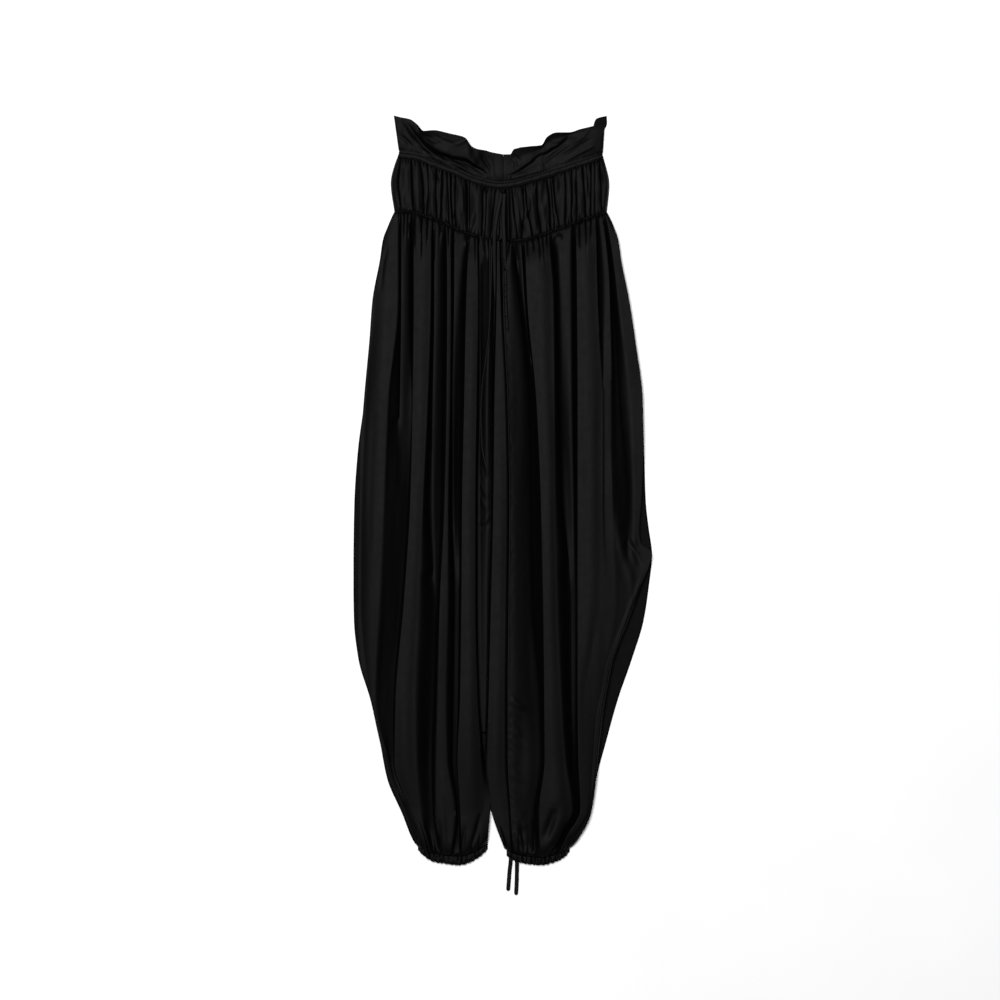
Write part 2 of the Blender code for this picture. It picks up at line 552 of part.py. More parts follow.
def cord_piece(name, route, collection):
    """A round cord on one smooth curve through its route."""
    route = np.array(route, float)
    reach = np.concatenate(([0], np.cumsum(np.linalg.norm(np.diff(route, axis=0), axis=1))))
    at = TAIL_SHARES * reach[-1]
    path = np.stack([smooth_through(reach, route[:, axis], at) for axis in range(3)], axis=1)
    curve = bpy.data.curves.new(name, "CURVE")
    curve.dimensions = "3D"
    curve.bevel_depth = CORD * MM / 2
    curve.bevel_resolution = 2
    curve.use_fill_caps = True
    spline = curve.splines.new("POLY")
    spline.points.add(len(path) - 1)
    for point, (x, y, z) in zip(spline.points, path):
        point.co = (x * MM, y * MM, z * MM, 1)
    return place(name, curve, collection, roughness=0.4)


def knot_piece(name, collection):
    shape = bmesh.new()
    bmesh.ops.create_uvsphere(shape, u_segments=16, v_segments=8, radius=0.5)
    bmesh.ops.scale(shape, vec=[size * MM for size in KNOT_SIZE], verts=shape.verts)
    mesh = bpy.data.meshes.new(name)
    shape.to_mesh(mesh)
    shape.free()
    mesh.shade_smooth()
    thing = place(name, mesh, collection, roughness=0.4)
    thing.location = [place_mm * MM for place_mm in KNOT]
    return thing


# ---- The garment ----
def add_fronts(collection):
    def left_edges(station):
        return (side_point("left", station, CUFF_TOP_LEFT),
                seam_point(LEFT_INNER_SEAM, station))

    def left_gore_edges(station):
        start_x, start_z = seam_point(LEFT_INNER_SEAM, station)
        end_x, end_z = seam_point(GORE_SEAM, station)
        return (start_x + GAP, start_z), (end_x, end_z)

    def ridge_edges(station):
        return ((ridge_left_x(station), seam_point(RIDGE_LEFT, station)[1]),
                seam_point(RIDGE_RIGHT, station))

    def right_edges(station):
        return (seam_point(RIGHT_INNER_SEAM, station),
                side_point("right", station, CUFF_TOP_RIGHT))

    gore_rows = [station for station in LEG_ROWS if station > LEFT_GORE_END] + [LEFT_GORE_END]
    draped_piece("leg_front_left", leg_front(left_edges, LEFT_FOLDS, LEG_ROWS, CUFF_TOP_LEFT),
                 collection)
    draped_piece("gore_front_left",
                 leg_front(left_gore_edges, LEFT_GORE_FOLDS, gore_rows, CUFF_TOP_LEFT),
                 collection)
    draped_piece("gore_front_right",
                 leg_front(ridge_edges, RIDGE_FOLDS, LEG_ROWS, CUFF_TOP_RIGHT), collection)
    draped_piece("leg_front_right",
                 leg_front(right_edges, RIGHT_FOLDS, LEG_ROWS, CUFF_TOP_RIGHT), collection)


def add_backs(collection):
    """The under layer of the legs: outlines that run down one side and up the other."""
    def outline(outer, outer_cuff, inner):
        down = []
        for station in LEG_ROWS:
            y = float(bent_row(station, -200 if "left" in outer else 200, outer_cuff))
            down.append((float(side(outer, y)), y))
        up = []
        for station in LEG_ROWS[::-1]:
            x = inner(station)
            up.append((x, float(bent_row(station, x, outer_cuff))))
        if down[0][0] > up[0][0]:
            down, up = up[::-1], down[::-1]
        bottom = beside(outer_cuff, down[-1][0], up[0][0], 0)[1:-1]
        top = beside(ELASTIC, down[0][0], up[-1][0], 0)[1:-1]
        return down + bottom + up + top[::-1]

    def under_left_x(station):
        return float(fold_x(UNDER_SEAM, station))

    flat_piece("leg_back_left", outline("under_left", CUFF_TOP_LEFT, under_left_x), collection)
    flat_piece("leg_back_right", outline("under_right", CUFF_TOP_RIGHT, under_right_x),
               collection)


def add_yoke(collection):
    draped_piece("yoke_front_left",
                 yoke_grid(YOKE_LEFT_EDGE, YOKE_LEFT_GATHERS, YOKE_SLIT_LEFT,
                           YOKE_SLIT_LEFT.crest_z), collection)
    draped_piece("yoke_front_right",
                 yoke_grid(YOKE_SLIT_RIGHT, YOKE_RIGHT_GATHERS, YOKE_RIGHT_EDGE,
                           YOKE_RIGHT_EDGE.crest_z), collection)
    top = beside(CASING, YOKE_LEFT_EDGE.casing, YOKE_RIGHT_EDGE.casing, -CASING_WIDTH / 2 - GAP)
    end = beside(ELASTIC, YOKE_LEFT_EDGE.elastic, YOKE_RIGHT_EDGE.elastic, GAP)[::-1]
    middle_y = (top[-1][1] + end[0][1]) / 2
    flat_piece("yoke_back", top + [(YOKE_RIGHT_EDGE.middle, middle_y)] + end
               + [(YOKE_LEFT_EDGE.middle, middle_y)], collection)


def add_casing(collection):
    first_x, last_x = CASING[0].x + 0.8, CASING[-1].x
    draped_piece("casing_front", casing_grid(first_x, last_x, CASING_PIECES), collection)
    lower = beside(CASING, first_x, last_x, -CASING_WIDTH / 2)
    upper = beside(CASING, first_x, last_x, CASING_WIDTH / 2)
    flat_piece("casing_back", lower + upper[::-1], collection)


def add_frill(collection):
    draped_piece("frill_front_left", frill_grid(FRILL_LEFT), collection)
    draped_piece("frill_front_right", frill_grid(FRILL_RIGHT), collection)
    base = beside(CASING, FRILL_LEFT[0].base, FRILL_RIGHT[-1].base, CASING_WIDTH / 2 + GAP)
    flat_piece("frill_back", [tuple(p) for p in FRILL_UNDER_EDGE] + base[::-1], collection)


def add_cuffs(collection):
    left_x, right_x = CUFF_TOP_LEFT[0].x + 0.7, CUFF_TOP_LEFT[-1].x - 1.0
    draped_piece("cuff_front_left",
                 cuff_grid(left_x, CUFF_LEFT_GROOVES, right_x, CUFF_TOP_LEFT, CUFF_END_LEFT),
                 collection)
    flat_cuff("cuff_back_left", left_x, right_x, CUFF_TOP_LEFT, CUFF_END_LEFT, collection)
    left_x, right_x = CUFF_TOP_RIGHT[0].x + 2.5, CUFF_TOP_RIGHT[-1].x - 0.7
    draped_piece("cuff_front_right",
                 cuff_grid(left_x, CUFF_RIGHT_GROOVES, right_x, CUFF_TOP_RIGHT,
                           CUFF_END_RIGHT, CUFF_GROOVE_Z, CUFF_RIGHT_FIRST_CREST), collection)
    flat_cuff("cuff_back_right", left_x, right_x, CUFF_TOP_RIGHT, CUFF_END_RIGHT, collection)


def flat_cuff(name, left_x, right_x, top, end, collection):
    upper = beside(top, left_x, right_x, -CUFF_GAP)
    lower = beside(end, left_x, right_x, 0)
    flat_piece(name, lower + upper[::-1], collection)


def main():
    for thing in list(bpy.data.objects):
        bpy.data.objects.remove(thing)
    garment = bpy.data.collections.new("Harem pants")
    bpy.context.scene.collection.children.link(garment)
    add_fronts(garment)
    add_backs(garment)
    add_yoke(garment)
    add_casing(garment)
    add_frill(garment)
    add_cuffs(garment)
    knot_piece("drawstring_knot", garment)
    cord_piece("drawstring_tail_left", LEFT_TAIL, garment)
    cord_piece("drawstring_tail_right", RIGHT_TAIL, garment)


main()
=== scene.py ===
# %% [markdown]
# # Harem pants, laid flat
#
# These are full-length trousers in soft black satin. The legs are very full: wide panels are
# gathered into a yoke at the hips and into an elastic at each ankle. Over the yoke comes a narrow
# casing with a drawstring, and above that a frill. The garment lies on its back on a pale floor.
#
# The engineering model already holds the garment's true size and its largest folds. This script
# dresses it. Each solid panel is replaced with a thin sheet of cloth of the same form, with many
# more points, and with the small gathers, creases and stitches that the solid leaves out.

from collections import namedtuple

import bmesh
import bpy
import numpy as np
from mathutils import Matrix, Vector
from mathutils.bvhtree import BVHTree


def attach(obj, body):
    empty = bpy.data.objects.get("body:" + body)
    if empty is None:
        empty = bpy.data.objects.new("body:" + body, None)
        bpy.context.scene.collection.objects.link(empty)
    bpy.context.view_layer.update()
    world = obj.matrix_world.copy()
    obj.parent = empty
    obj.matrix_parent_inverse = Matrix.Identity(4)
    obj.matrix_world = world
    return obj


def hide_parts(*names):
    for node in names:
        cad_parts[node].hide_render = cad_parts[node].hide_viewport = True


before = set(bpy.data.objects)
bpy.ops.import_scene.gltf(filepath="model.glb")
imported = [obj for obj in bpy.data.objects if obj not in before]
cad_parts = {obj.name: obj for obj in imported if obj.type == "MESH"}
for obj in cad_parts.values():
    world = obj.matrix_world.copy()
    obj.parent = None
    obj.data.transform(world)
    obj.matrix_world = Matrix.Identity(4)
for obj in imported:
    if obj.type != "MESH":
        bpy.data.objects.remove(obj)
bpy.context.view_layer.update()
MM = 0.001
print("nodes to dress:", len(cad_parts))

# %% [markdown]
# ## The camera
#
# A garment that lies flat is seen best from straight above. A long lens from four metres up
# keeps the sides of the folds from showing, as a longer distance makes the view more parallel.

# %% Camera, straight above
LENS = 100.0
SENSOR = 36.0
FRAME_WIDTH = 1440 * MM          # what the frame shows at the height of the cloth
FRAME_MIDDLE = (-4 * MM, -14.8 * MM)
CLOTH_LEVEL = 12 * MM

camera = bpy.data.objects.new("camera", bpy.data.cameras.new("camera"))
camera.data.lens = LENS
camera.data.sensor_width = SENSOR
camera.location = (*FRAME_MIDDLE, CLOTH_LEVEL + FRAME_WIDTH * LENS / SENSOR)
camera.data.clip_end = 50.0
bpy.context.scene.collection.objects.link(camera)
bpy.context.scene.camera = camera
print("camera height", round(camera.location.z, 3), "m")

# %% [markdown]
# ## One smooth curve for everything
#
# Cloth has no corners, but its folds must not swing past the places where they are pinned. A
# monotone cubic does both: it goes smoothly through its knots and never beyond them. The cord,
# the seams, the fold lines and the cross-sections all use it.

# %% The curve
def shared_slope(before, after, step_before, step_after):
    """The slope at a knot between two steps that go the same way."""
    near, far = 2 * step_after + step_before, step_after + 2 * step_before
    return (near + far) / (near / before + far / after)


def smooth_through(knots, values, at):
    """A smooth curve through the knots that never swings past them (monotone cubic)."""
    knots, values = np.asarray(knots, float), np.asarray(values, float)
    at = np.clip(np.asarray(at, float), knots[0], knots[-1])
    steps = np.diff(knots)
    slopes = np.diff(values) / steps
    tangents = np.concatenate((slopes[:1], np.zeros(len(values) - 2), slopes[-1:]))
    for i in range(1, len(values) - 1):
        before, after = slopes[i - 1], slopes[i]
        if before * after > 0:
            tangents[i] = shared_slope(before, after, steps[i - 1], steps[i])
    i = np.clip(np.searchsorted(knots, at, side="right") - 1, 0, len(steps) - 1)
    t = (at - knots[i]) / steps[i]
    start, end = values[i], values[i + 1]
    return (start + (end - start) * (3 - 2 * t) * t**2
            + steps[i] * t * (1 - t) * (tangents[i] * (1 - t) - tangents[i + 1] * t))


def ease(t):
    """0 up to t = 0, 1 from t = 1, and smooth in between."""
    t = np.clip(t, 0.0, 1.0)
    return t * t * (3 - 2 * t)


def bulge(t):
    """From 0 to 1 like the side of a pillow: steep at first, then level."""
    return 1 - (1 - np.clip(t, 0.0, 1.0)) ** 2.4


def averaged(values, width):
    """Each value becomes the mean of an odd number of them around it."""
    return np.convolve(np.pad(values, width // 2, mode="edge"), np.ones(width) / width,
                       mode="valid")


def path_through(route, shares):
    """Points of a smooth path through the route, at shares of its length."""
    route = np.array(route, float)
    reach = np.concatenate(([0], np.cumsum(np.linalg.norm(np.diff(route, axis=0), axis=1))))
    at = np.asarray(shares) * reach[-1]
    return np.stack([smooth_through(reach, route[:, axis], at) for axis in range(3)], axis=1)


# %% [markdown]
# ## Putting things in the scene
#
# Every mesh of the garment is linked to the scene and rides on its one body. What it's made of is
# given later, as its material.

# %% A piece of the garment
def in_scene(name, data):
    thing = bpy.data.objects.new(name, data)
    bpy.context.scene.collection.objects.link(thing)
    return thing


def mesh_from(shape, name):
    """A smooth mesh from a bmesh, which is freed."""
    mesh = bpy.data.meshes.new(name)
    shape.to_mesh(mesh)
    shape.free()
    mesh.shade_smooth()
    return mesh


def garment_piece(name, mesh):
    piece = in_scene(name, mesh)
    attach(piece, "root")
    return piece


# %% [markdown]
# ## The drawstring
#
# The cord is a rouleau: a narrow bias tube of the same satin, turned right side out and pressed,
# so it is a little flat with a soft channel down its middle. It leaves the casing at the centre
# front, is tied once, and its two tails drop into the slit and run down inside the right leg.
# Their last few centimetres come out of the right cuff. A curve with a profile makes such a tube.

# %% The two tails
CORD = 5.8 * MM
CORD_THICKNESS = 2.8 * MM
CORD_CHANNEL = 0.22    # how far the channel dips into each face, as a share of the thickness
CHANNEL_WIDTH = 0.35   # and how wide it is, as a share of the width
CORD_TIP = 0.3         # a rounded end comes down to this share of the width
LEFT_TAIL = (
    (-2.3, 426.4, 9.6), (-5.0, 412, 10.6), (-9.6, 388, 11.0), (-12.2, 367, 10.6),
    (-12.4, 345, 8.2), (-12.0, 322, 5.4), (-11.0, 297, 4.1), (-7.0, 230, 4.0),
    (-5.0, 129, 4.0), (-3.2, -44, 4.0), (-1.1, -216, 4.0), (3.2, -389, 4.0),
    (11.0, -500, 4.1), (11.6, -530, 4.1), (9.6, -552, 2.4), (7.6, -579, 2.2),
)
RIGHT_TAIL = (
    (2.3, 426.4, 9.6), (1.4, 412, 9.8), (0.9, 388, 10.0), (1.8, 367, 9.8),
    (2.3, 345, 7.8), (2.2, 322, 5.2), (2.0, 297, 4.1), (5.6, 230, 4.0),
    (10.5, 129, 4.0), (13.5, -44, 4.0), (15.0, -216, 4.0), (17.6, -389, 4.0),
    (20.0, -500, 4.1), (20.4, -533, 4.1), (20.2, -558, 2.4), (19.1, -585, 2.2),
)
TAIL_SHARES = np.concatenate((np.linspace(0.0, 0.16, 40), np.linspace(0.17, 0.87, 50),
                              np.linspace(0.88, 0.995, 34), (0.998, 0.999, 0.9995, 0.9998, 1.0)))


def cord_profile(name, width, height, channel):
    """The rouleau's cross-section: an oval with a soft channel along its top and bottom."""
    curve = bpy.data.curves.new(name, "CURVE")
    curve.dimensions = "2D"
    spline = curve.splines.new("POLY")
    angles = np.linspace(0, 2 * np.pi, 20, endpoint=False)
    spline.points.add(len(angles) - 1)
    for point, angle in zip(spline.points, angles):
        dip = 1 - channel * np.exp(-(np.cos(angle) / CHANNEL_WIDTH) ** 2)
        point.co = (width / 2 * np.cos(angle), height / 2 * np.sin(angle) * dip, 0, 1)
    spline.use_cyclic_u = True
    return bpy.data.objects.new(name, curve)


def tube(name, path, profile=None, radius=None, closed=False, rounded=0.0):
    """A mesh tube along a path in millimetres, made with a curve's bevel. Its far end can be
    rounded off over a length."""
    curve = bpy.data.curves.new(name, "CURVE")
    curve.dimensions = "3D"
    curve.twist_mode = "Z_UP"
    curve.use_fill_caps = not closed
    if profile:
        curve.bevel_mode = "OBJECT"
        curve.bevel_object = profile
    else:
        curve.bevel_depth = radius
        curve.bevel_resolution = 4
    spline = curve.splines.new("POLY")
    spline.points.add(len(path) - 1)
    for point, (x, y, z) in zip(spline.points, path):
        point.co = (x * MM, y * MM, z * MM, 1)
        if rounded:
            inside = min(float(np.linalg.norm(path[-1] - (x, y, z))) / rounded, 1)
            point.radius = max(CORD_TIP, (1 - (1 - inside) ** 2) ** 0.5)
    spline.use_cyclic_u = closed
    shape = in_scene(name + "_shape", curve)
    graph = bpy.context.evaluated_depsgraph_get()
    mesh = bpy.data.meshes.new_from_object(shape.evaluated_get(graph))
    bpy.data.objects.remove(shape)
    mesh.name = name
    mesh.shade_smooth()
    return garment_piece(name, mesh)


rouleau = cord_profile("rouleau_profile", CORD, CORD_THICKNESS, CORD_CHANNEL)
bpy.context.scene.collection.objects.link(rouleau)
tails = {}
for side_name, route in (("left", LEFT_TAIL), ("right", RIGHT_TAIL)):
    path = path_through(route, TAIL_SHARES)
    tail = tube(f"cord_tail_{side_name}", path, profile=rouleau,
                rounded=CORD / MM / 2)
    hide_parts(f"drawstring_tail_{side_name}")
    length = float(np.linalg.norm(np.diff(path, axis=0), axis=1).sum()) * MM
    tails[side_name] = (tail, path * MM, length)
    print(tail.name, round(length, 3), "m long")

# %% [markdown]
# The knot is small and pulled tight. An overhand knot is a trefoil: three lobes where the cord
# passes over and under itself. Pressed flat and small, it reads as a pinch of cord.

# %% The knot
KNOT = (0.0, 430.4, 10.2)
KNOT_SIZE = (8.4, 7.0, 5.2)
KNOT_STRAND = 1.15     # the cord is pulled this thin in the knot (its radius)
turn = np.linspace(0, 2 * np.pi, 72, endpoint=False)
lobes = np.stack((np.sin(turn) + 2 * np.sin(2 * turn), np.cos(turn) - 2 * np.cos(2 * turn),
                  -np.sin(3 * turn)), axis=1)
lobes /= np.abs(lobes).max(axis=0)
knot_path = np.array(KNOT) + lobes * (np.array(KNOT_SIZE) / 2 - KNOT_STRAND)
knot = tube("drawstring_tie", knot_path, radius=KNOT_STRAND * MM, closed=True)
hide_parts("drawstring_knot")
for side_name, (tail, path, length) in tails.items():
    [knot] if side_name == "left" else []
print("knot", [round(size, 1) for size in knot.dimensions * 1000], "mm")

# %% [markdown]
# ## The garment's lines
#
# Everything is measured in millimetres from the middle of the garment, as seen from above. First
# come the lines that a pattern cutter would draw: the elastic under the yoke, the casing, the
# cuffs and the outline.

# %% Seams and outline
CLOTH = 0.7            # the sheet's wall, a little more than the real cloth so it holds an edge
SETTLE = 0.2           # it lies this far above the solid panel's underside
LAID = 2.1             # lowest underside of the upper layer
GAP = 0.3              # between two pieces at a seam
MARGIN = 1.6           # flat seam allowance beside an edge
LEAST_FOLD = 0.7       # between the lines of two folds
LEGS_APART = 1.8       # between the two legs below the point where they part
SPLIT = -464           # where they part
PARTING = 12           # over this length

STATIONS = (356, 273, 129, -15, -159, -303, -389, -461, -518)
WAIST, HIP, THIGH, CROTCH, KNEE, CALF, SHIN, ANKLE, CUFF = STATIONS
HEIGHT_STATIONS = (HIP, THIGH, CROTCH, KNEE, CALF, ANKLE)
LEG_ROWS = np.concatenate(([WAIST, WAIST - MARGIN], np.linspace(352.6, 280, 34, endpoint=False),
                           np.linspace(280, -430, 208, endpoint=False),
                           np.linspace(-430, CUFF + 4, 38), [CUFF + MARGIN, CUFF]))

BENT_FROM = 225        # above this a cross-section bends towards the line of the elastic

Point = namedtuple("Point", "x y")
Outline = namedtuple("Outline", "y under_left left right under_right")


def line_through(*places):
    return [Point(*place) for place in places]


ELASTIC = line_through(
    (-156, 401), (-132, 401), (-119, 397), (-90, 387), (-62, 374), (-33, 365), (0, 359),
    (26, 360), (57, 368), (93, 381), (129, 394), (149, 400))
CASING = line_through(
    (-151, 483.5), (-123, 479.5), (-105, 472), (-69, 458.5), (-33, 444), (-4, 438.8), (13, 440.5),
    (39, 447.5), (75, 458.5), (111, 470.5), (144, 481.3))
CUFF_TOP_LEFT = line_through(
    (-123, -513), (-105, -523), (-79, -527), (-62, -528), (-47, -524.5), (-33, -518), (-21, -508))
CUFF_END_LEFT = line_through(
    (-123, -519), (-102, -535), (-79, -539), (-62, -540.5), (-50, -537.5), (-36, -530),
    (-21, -517))
CUFF_TOP_RIGHT = line_through(
    (3, -517), (22, -526), (44, -529), (57, -530), (72, -527), (85, -522.5), (97, -515))
CUFF_END_RIGHT = line_through(
    (3, -526), (22, -536), (44, -540), (57, -540.5), (72, -537), (85, -531), (97, -521))
SIDES = [Outline(*row) for row in (
    (401, -155.9, -155.9, 149.4, 149.4),
    (381, -164.5, -164.5, 158.8, 158.8),
    (360, -172.4, -172.4, 166.0, 166.0),
    (331, -176.8, -176.8, 170.3, 170.3),
    (273, -187.6, -187.6, 181.8, 181.8),
    (216, -191.9, -191.9, 190.4, 190.4),
    (129, -199.8, -199.8, 201.2, 201.2),
    (57, -209.2, -204.8, 202.4, 204.1),
    (-15, -214.2, -205.6, 199.2, 206.3),
    (-58, -215.2, -206.4, 196.2, 211.0),
    (-76, -215.4, -206.7, 197.5, 213.8),
    (-92, -215.6, -207.0, 213.6, 215.6),
    (-141, -215.6, -207.7, 197.6, 210.6),
    (-188, -214.9, -207.7, 180.4, 203.4),
    (-245, -208.4, -204.1, 158.8, 186.1),
    (-303, -191.2, -189.7, 147.2, 166.0),
    (-360, -178.2, -177.5, 139.3, 150.1),
    (-418, -166.7, -162.4, 133.6, 135.0),
    (-468, -145.1, -140.8, 125.6, 127.1),
    (-504, -130.7, -127.8, 106.9, 108.4),
    (-518, -122.0, -121.3, 96.1, 96.8),
)]


def along(points, x):
    return smooth_through([p.x for p in points], [p.y for p in points], x)


def side(column, y):
    rows = SIDES[::-1]
    return smooth_through([row.y for row in rows], [getattr(row, column) for row in rows], y)


def bent_row(station, x, cuff):
    """Where a cross-section lies at x: it follows the elastic at the top and the cuff below."""
    to_waist = ease((station - BENT_FROM) / (WAIST - BENT_FROM))
    to_cuff = ease((SHIN - station) / (SHIN - CUFF))
    return (station + (along(ELASTIC, x) - WAIST) * to_waist
            + (along(cuff, x) - CUFF) * to_cuff)


print("rows of points down a leg:", len(LEG_ROWS))


# %% [markdown]
# ## The large folds
#
# A gathered panel hangs in long folds that run from the waist to the cuff. A fold is described by
# the lines along it: the two sides of its flat top, and the bottom of the groove beside it. Each
# row of these tables is one such line: how far it is from the middle at nine places down the leg,
# and how high the cloth lies there at six. Between two lines of one height the cloth is flat and
# catches the light, a long gentle drop is half in shade, and a narrow groove is black.

# %% The fold tables
Fold = namedtuple("Fold", "name x z")
LEFT_FOLDS = [Fold(*row) for row in (
    ("rim left", (-170.5, -183, -196, -202, -204, -189, -166, -141.5, -120.5),
     (11, 14, 15, 15, 14, 9)),
    ("rim right", (-151.5, -150.5, -164.5, -171, -177.5, -184, -165, -140.5, -119.5),
     (14, 20.5, 21, 20, 14.5, 10)),
    ("slope 1 end", (-149.5, -149.5, -162.5, -166.5, -169.5, -177, -164, -139.5, -118.5),
     (12, 18.6, 18.8, 15.7, 11.3, 10.6)),
    ("groove 1", (-148, -147.5, -148.5, -152.5, -159.5, -168, -163, -138.5, -118),
     (3, 6.5, 11.5, 10.3, 7.4, 11.2)),
    ("shoulder 1 left", (-145, -145.5, -148, -151.5, -155, -164.5, -161.5, -137.5, -117),
     (16.5, 7.2, 11, 8, 5.8, 11.8)),
    ("shoulder 1 right", (-135, -135.5, -134.5, -140, -149.5, -160, -160, -136.5, -116.5),
     (14, 3.6, 4.8, 4.9, 3.9, 12.4)),
    ("groove 2", (-131, -131.5, -130.5, -135.5, -144.5, -156.5, -157.5, -135.5, -115.5),
     (3, 3, 2.4, 2.3, 2.3, 13)),
    ("crest A left", (-128, -127.5, -129, -132.5, -141.5, -153.5, -155, -133.5, -113.5),
     (18.5, 20.5, 21, 21.5, 21.5, 14.5)),
    ("crest A right", (-103, -103.5, -108, -115, -121, -126.5, -125, -120, -103.5),
     (18, 20, 20.5, 21, 21, 15)),
    ("groove 3", (-100.5, -101, -104, -107.5, -99, -104, -107, -105.5, -99),
     (4, 4, 3.5, 5, 4.6, 8)),
    ("shoulder 2 left", (-98, -98, -100.5, -102, -97.5, -102.5, -105.5, -104, -96),
     (15, 13, 9.5, 4.2, 3.9, 7.5)),
    ("shoulder 2 right", (-88, -90.5, -90.5, -92, -96, -101, -103.5, -102.5, -92.5),
     (13.5, 9.5, 5.5, 3.4, 3.1, 6.9)),
    ("groove 4", (-83.5, -82.5, -85, -88, -94.5, -99.5, -102, -100, -89),
     (4, 3.5, 2.8, 2.5, 2.3, 6)),
    ("crest B left", (-80.5, -79.5, -80.5, -83.5, -90, -94, -96, -97, -86),
     (18.3, 18.5, 18.5, 19.5, 20, 16)),
    ("crest B right", (-75, -75, -76, -78.5, -79, -82, -80, -68, -76), (18, 18, 18, 19, 19.5, 16)),
    ("groove 5", (-72, -72.5, -74, -75, -70, -71.5, -72.5, -65.5, -71.5),
     (4, 5, 3.2, 2.3, 2.3, 5)),
    ("shoulder 3 left", (-69, -69.5, -72, -72, -67.5, -69, -69.5, -64, -69),
     (15, 12.5, 8.5, 3.5, 3.5, 6.1)),
    ("shoulder 3 right", (-53, -61.5, -65, -66, -65, -66.5, -67.5, -63, -66),
     (13.5, 8.5, 5, 4.4, 4.5, 7.2)),
    ("groove 6", (-50, -55, -58.5, -62, -62.5, -64, -66, -62, -63), (4, 3.2, 2.4, 5.5, 5.5, 8)),
    ("crest C left", (-47.5, -52, -55, -58, -59, -61, -64.5, -60.5, -58.5),
     (18.5, 20.5, 21.5, 22.5, 22.5, 17)),
    ("crest C right", (-37.5, -36, -38, -40, -40, -36.5, -31, -27, -33),
     (18, 20, 21, 21.5, 21, 13.5)),
)]
RIGHT_FOLDS = [Fold(*row) for row in (
    ("seam slope", (11, 9, 17.5, 17.5, 22, 23.5, 25, 25, 23.5),
     (13.6, 13, 14.2, 13.1, 12.7, 10.8)),
    ("slope 7 end", (12, 22, 30.5, 30, 32, 42, 48, 36.5, 36.5), (9, 8.8, 9.6, 9.3, 6.7, 7.8)),
    ("groove 7", (13.5, 25.5, 38.5, 41.5, 43.5, 53.5, 56.5, 45.5, 43.5),
     (2.5, 2.3, 2.3, 2.3, 2.3, 5)),
    ("shoulder 5 left", (16, 27.5, 42, 46.5, 48, 55.5, 57.5, 47.5, 47),
     (14, 8.5, 8.3, 8.9, 8.4, 9)),
    ("shoulder 5 right", (25.5, 31, 45, 50.5, 53, 57, 58.5, 49, 50),
     (16.5, 14.6, 14.6, 15.4, 13.6, 12.1)),
    ("groove 8", (28.5, 33, 46.5, 53, 55.5, 58.5, 59.5, 50, 52),
     (6, 18.3, 18.8, 19.5, 17.8, 14.6)),
    ("crest D left", (32, 35.5, 48.5, 55, 58, 60, 60.5, 52, 55), (20.5, 22, 22.5, 23, 22.5, 18)),
    ("crest D right", (63.5, 72.5, 74, 75, 78, 84, 89.5, 99, 62.5),
     (19.5, 21, 21.5, 22, 21.5, 16)),
    ("groove 9", (70, 77.5, 80.5, 87, 98.5, 99.5, 101.5, 107, 66.5), (3, 3, 2.3, 4, 4, 8.5)),
    ("shoulder 6 left", (78, 82.5, 86.5, 94, 100.5, 101.5, 103, 108.5, 69.5),
     (15, 11, 5.5, 3.6, 3.6, 6.8)),
    ("shoulder 6 right", (97.5, 98.5, 99, 101.5, 103, 103.5, 104.5, 109.5, 73),
     (16, 15, 8, 3, 3, 5)),
    ("groove 10", (101.5, 103, 104.5, 105, 105.5, 105.5, 106, 110.5, 76.5),
     (3, 2.6, 2.4, 2.3, 2.3, 3.6)),
    ("crest E left", (105.5, 107, 108, 108, 108, 108, 109, 112, 79.5),
     (20.5, 22.5, 23, 23, 22.5, 16.5)),
    ("crest E right", (133, 135.5, 143, 143, 140, 118.5, 119, 117, 82.5),
     (20.5, 22, 22.5, 22.2, 21.5, 16.2)),
    ("groove 11", (135, 138, 144.5, 144.5, 147, 124, 123, 120, 84.5),
     (8, 21.7, 22, 21.8, 21, 15.9)),
    ("shoulder 7 left", (137, 146, 145.5, 145.5, 153, 130, 126.5, 122, 87),
     (18.5, 21.2, 21.4, 21.3, 20.3, 15.6)),
    ("shoulder 7 right", (142, 153, 156, 156.5, 161.5, 137, 130, 123.5, 88),
     (19.5, 20.8, 21, 20.6, 19.2, 15.2)),
    ("groove 12", (144, 156, 159.5, 160, 168, 140, 133, 124.5, 89.5),
     (8, 15, 18.5, 19.3, 18.7, 14.9)),
    ("rim left", (145.5, 159, 170.5, 180.5, 177.5, 143, 134.5, 125.5, 92),
     (3, 8, 9, 17.7, 18, 14.5)),
    ("rim right", (148.5, 165, 184.5, 189.5, 189, 145, 136, 126.5, 94),
     (13.5, 14, 14, 15.5, 17, 13.5)),
)]
LEFT_GORE_FOLDS = [Fold(*row) for row in (
    ("slit bottom", (-31.5, -31.5, -31.5, -32.5, -32, -32, -30, -30, -30),
     (2.4, 2.4, 2.4, 2.4, 2.4, 2.4)),
    ("gore lip", (-20.5, -21, -27, -28, -28.5, -28.5, -28.5, -28.5, -28.5),
     (9.5, 7.8, 5, 3.8, 3.2, 3)),
    ("gore top", (-18.5, -18.5, -22.5, -22.5, -23.5, -25, -27, -27, -27), (11, 10, 7, 5, 4, 3)),
)]
RIDGE_FOLDS = [Fold(*row) for row in (
    ("ridge, left top", (-7.5, -8.5, -11.5, -13, -16.5, -20, -22.5, -14, 5),
     (12, 18.5, 20, 20, 19.5, 15)),
    ("ridge, right top", (-5.5, -3.5, 3, 6, 4.5, 3, 3, 7.5, 11.5),
     (12, 18.3, 19.6, 19.6, 19, 14.5)),
)]
LEFT_GORE_END = -354
print("fold lines:", len(LEFT_FOLDS), "on the left front and", len(RIGHT_FOLDS), "on the right")

# %% [markdown]
# The panels meet at seams, and these lines are the seams. Along the slit the two legs' edges are
# free. The last line is where the two under legs meet.

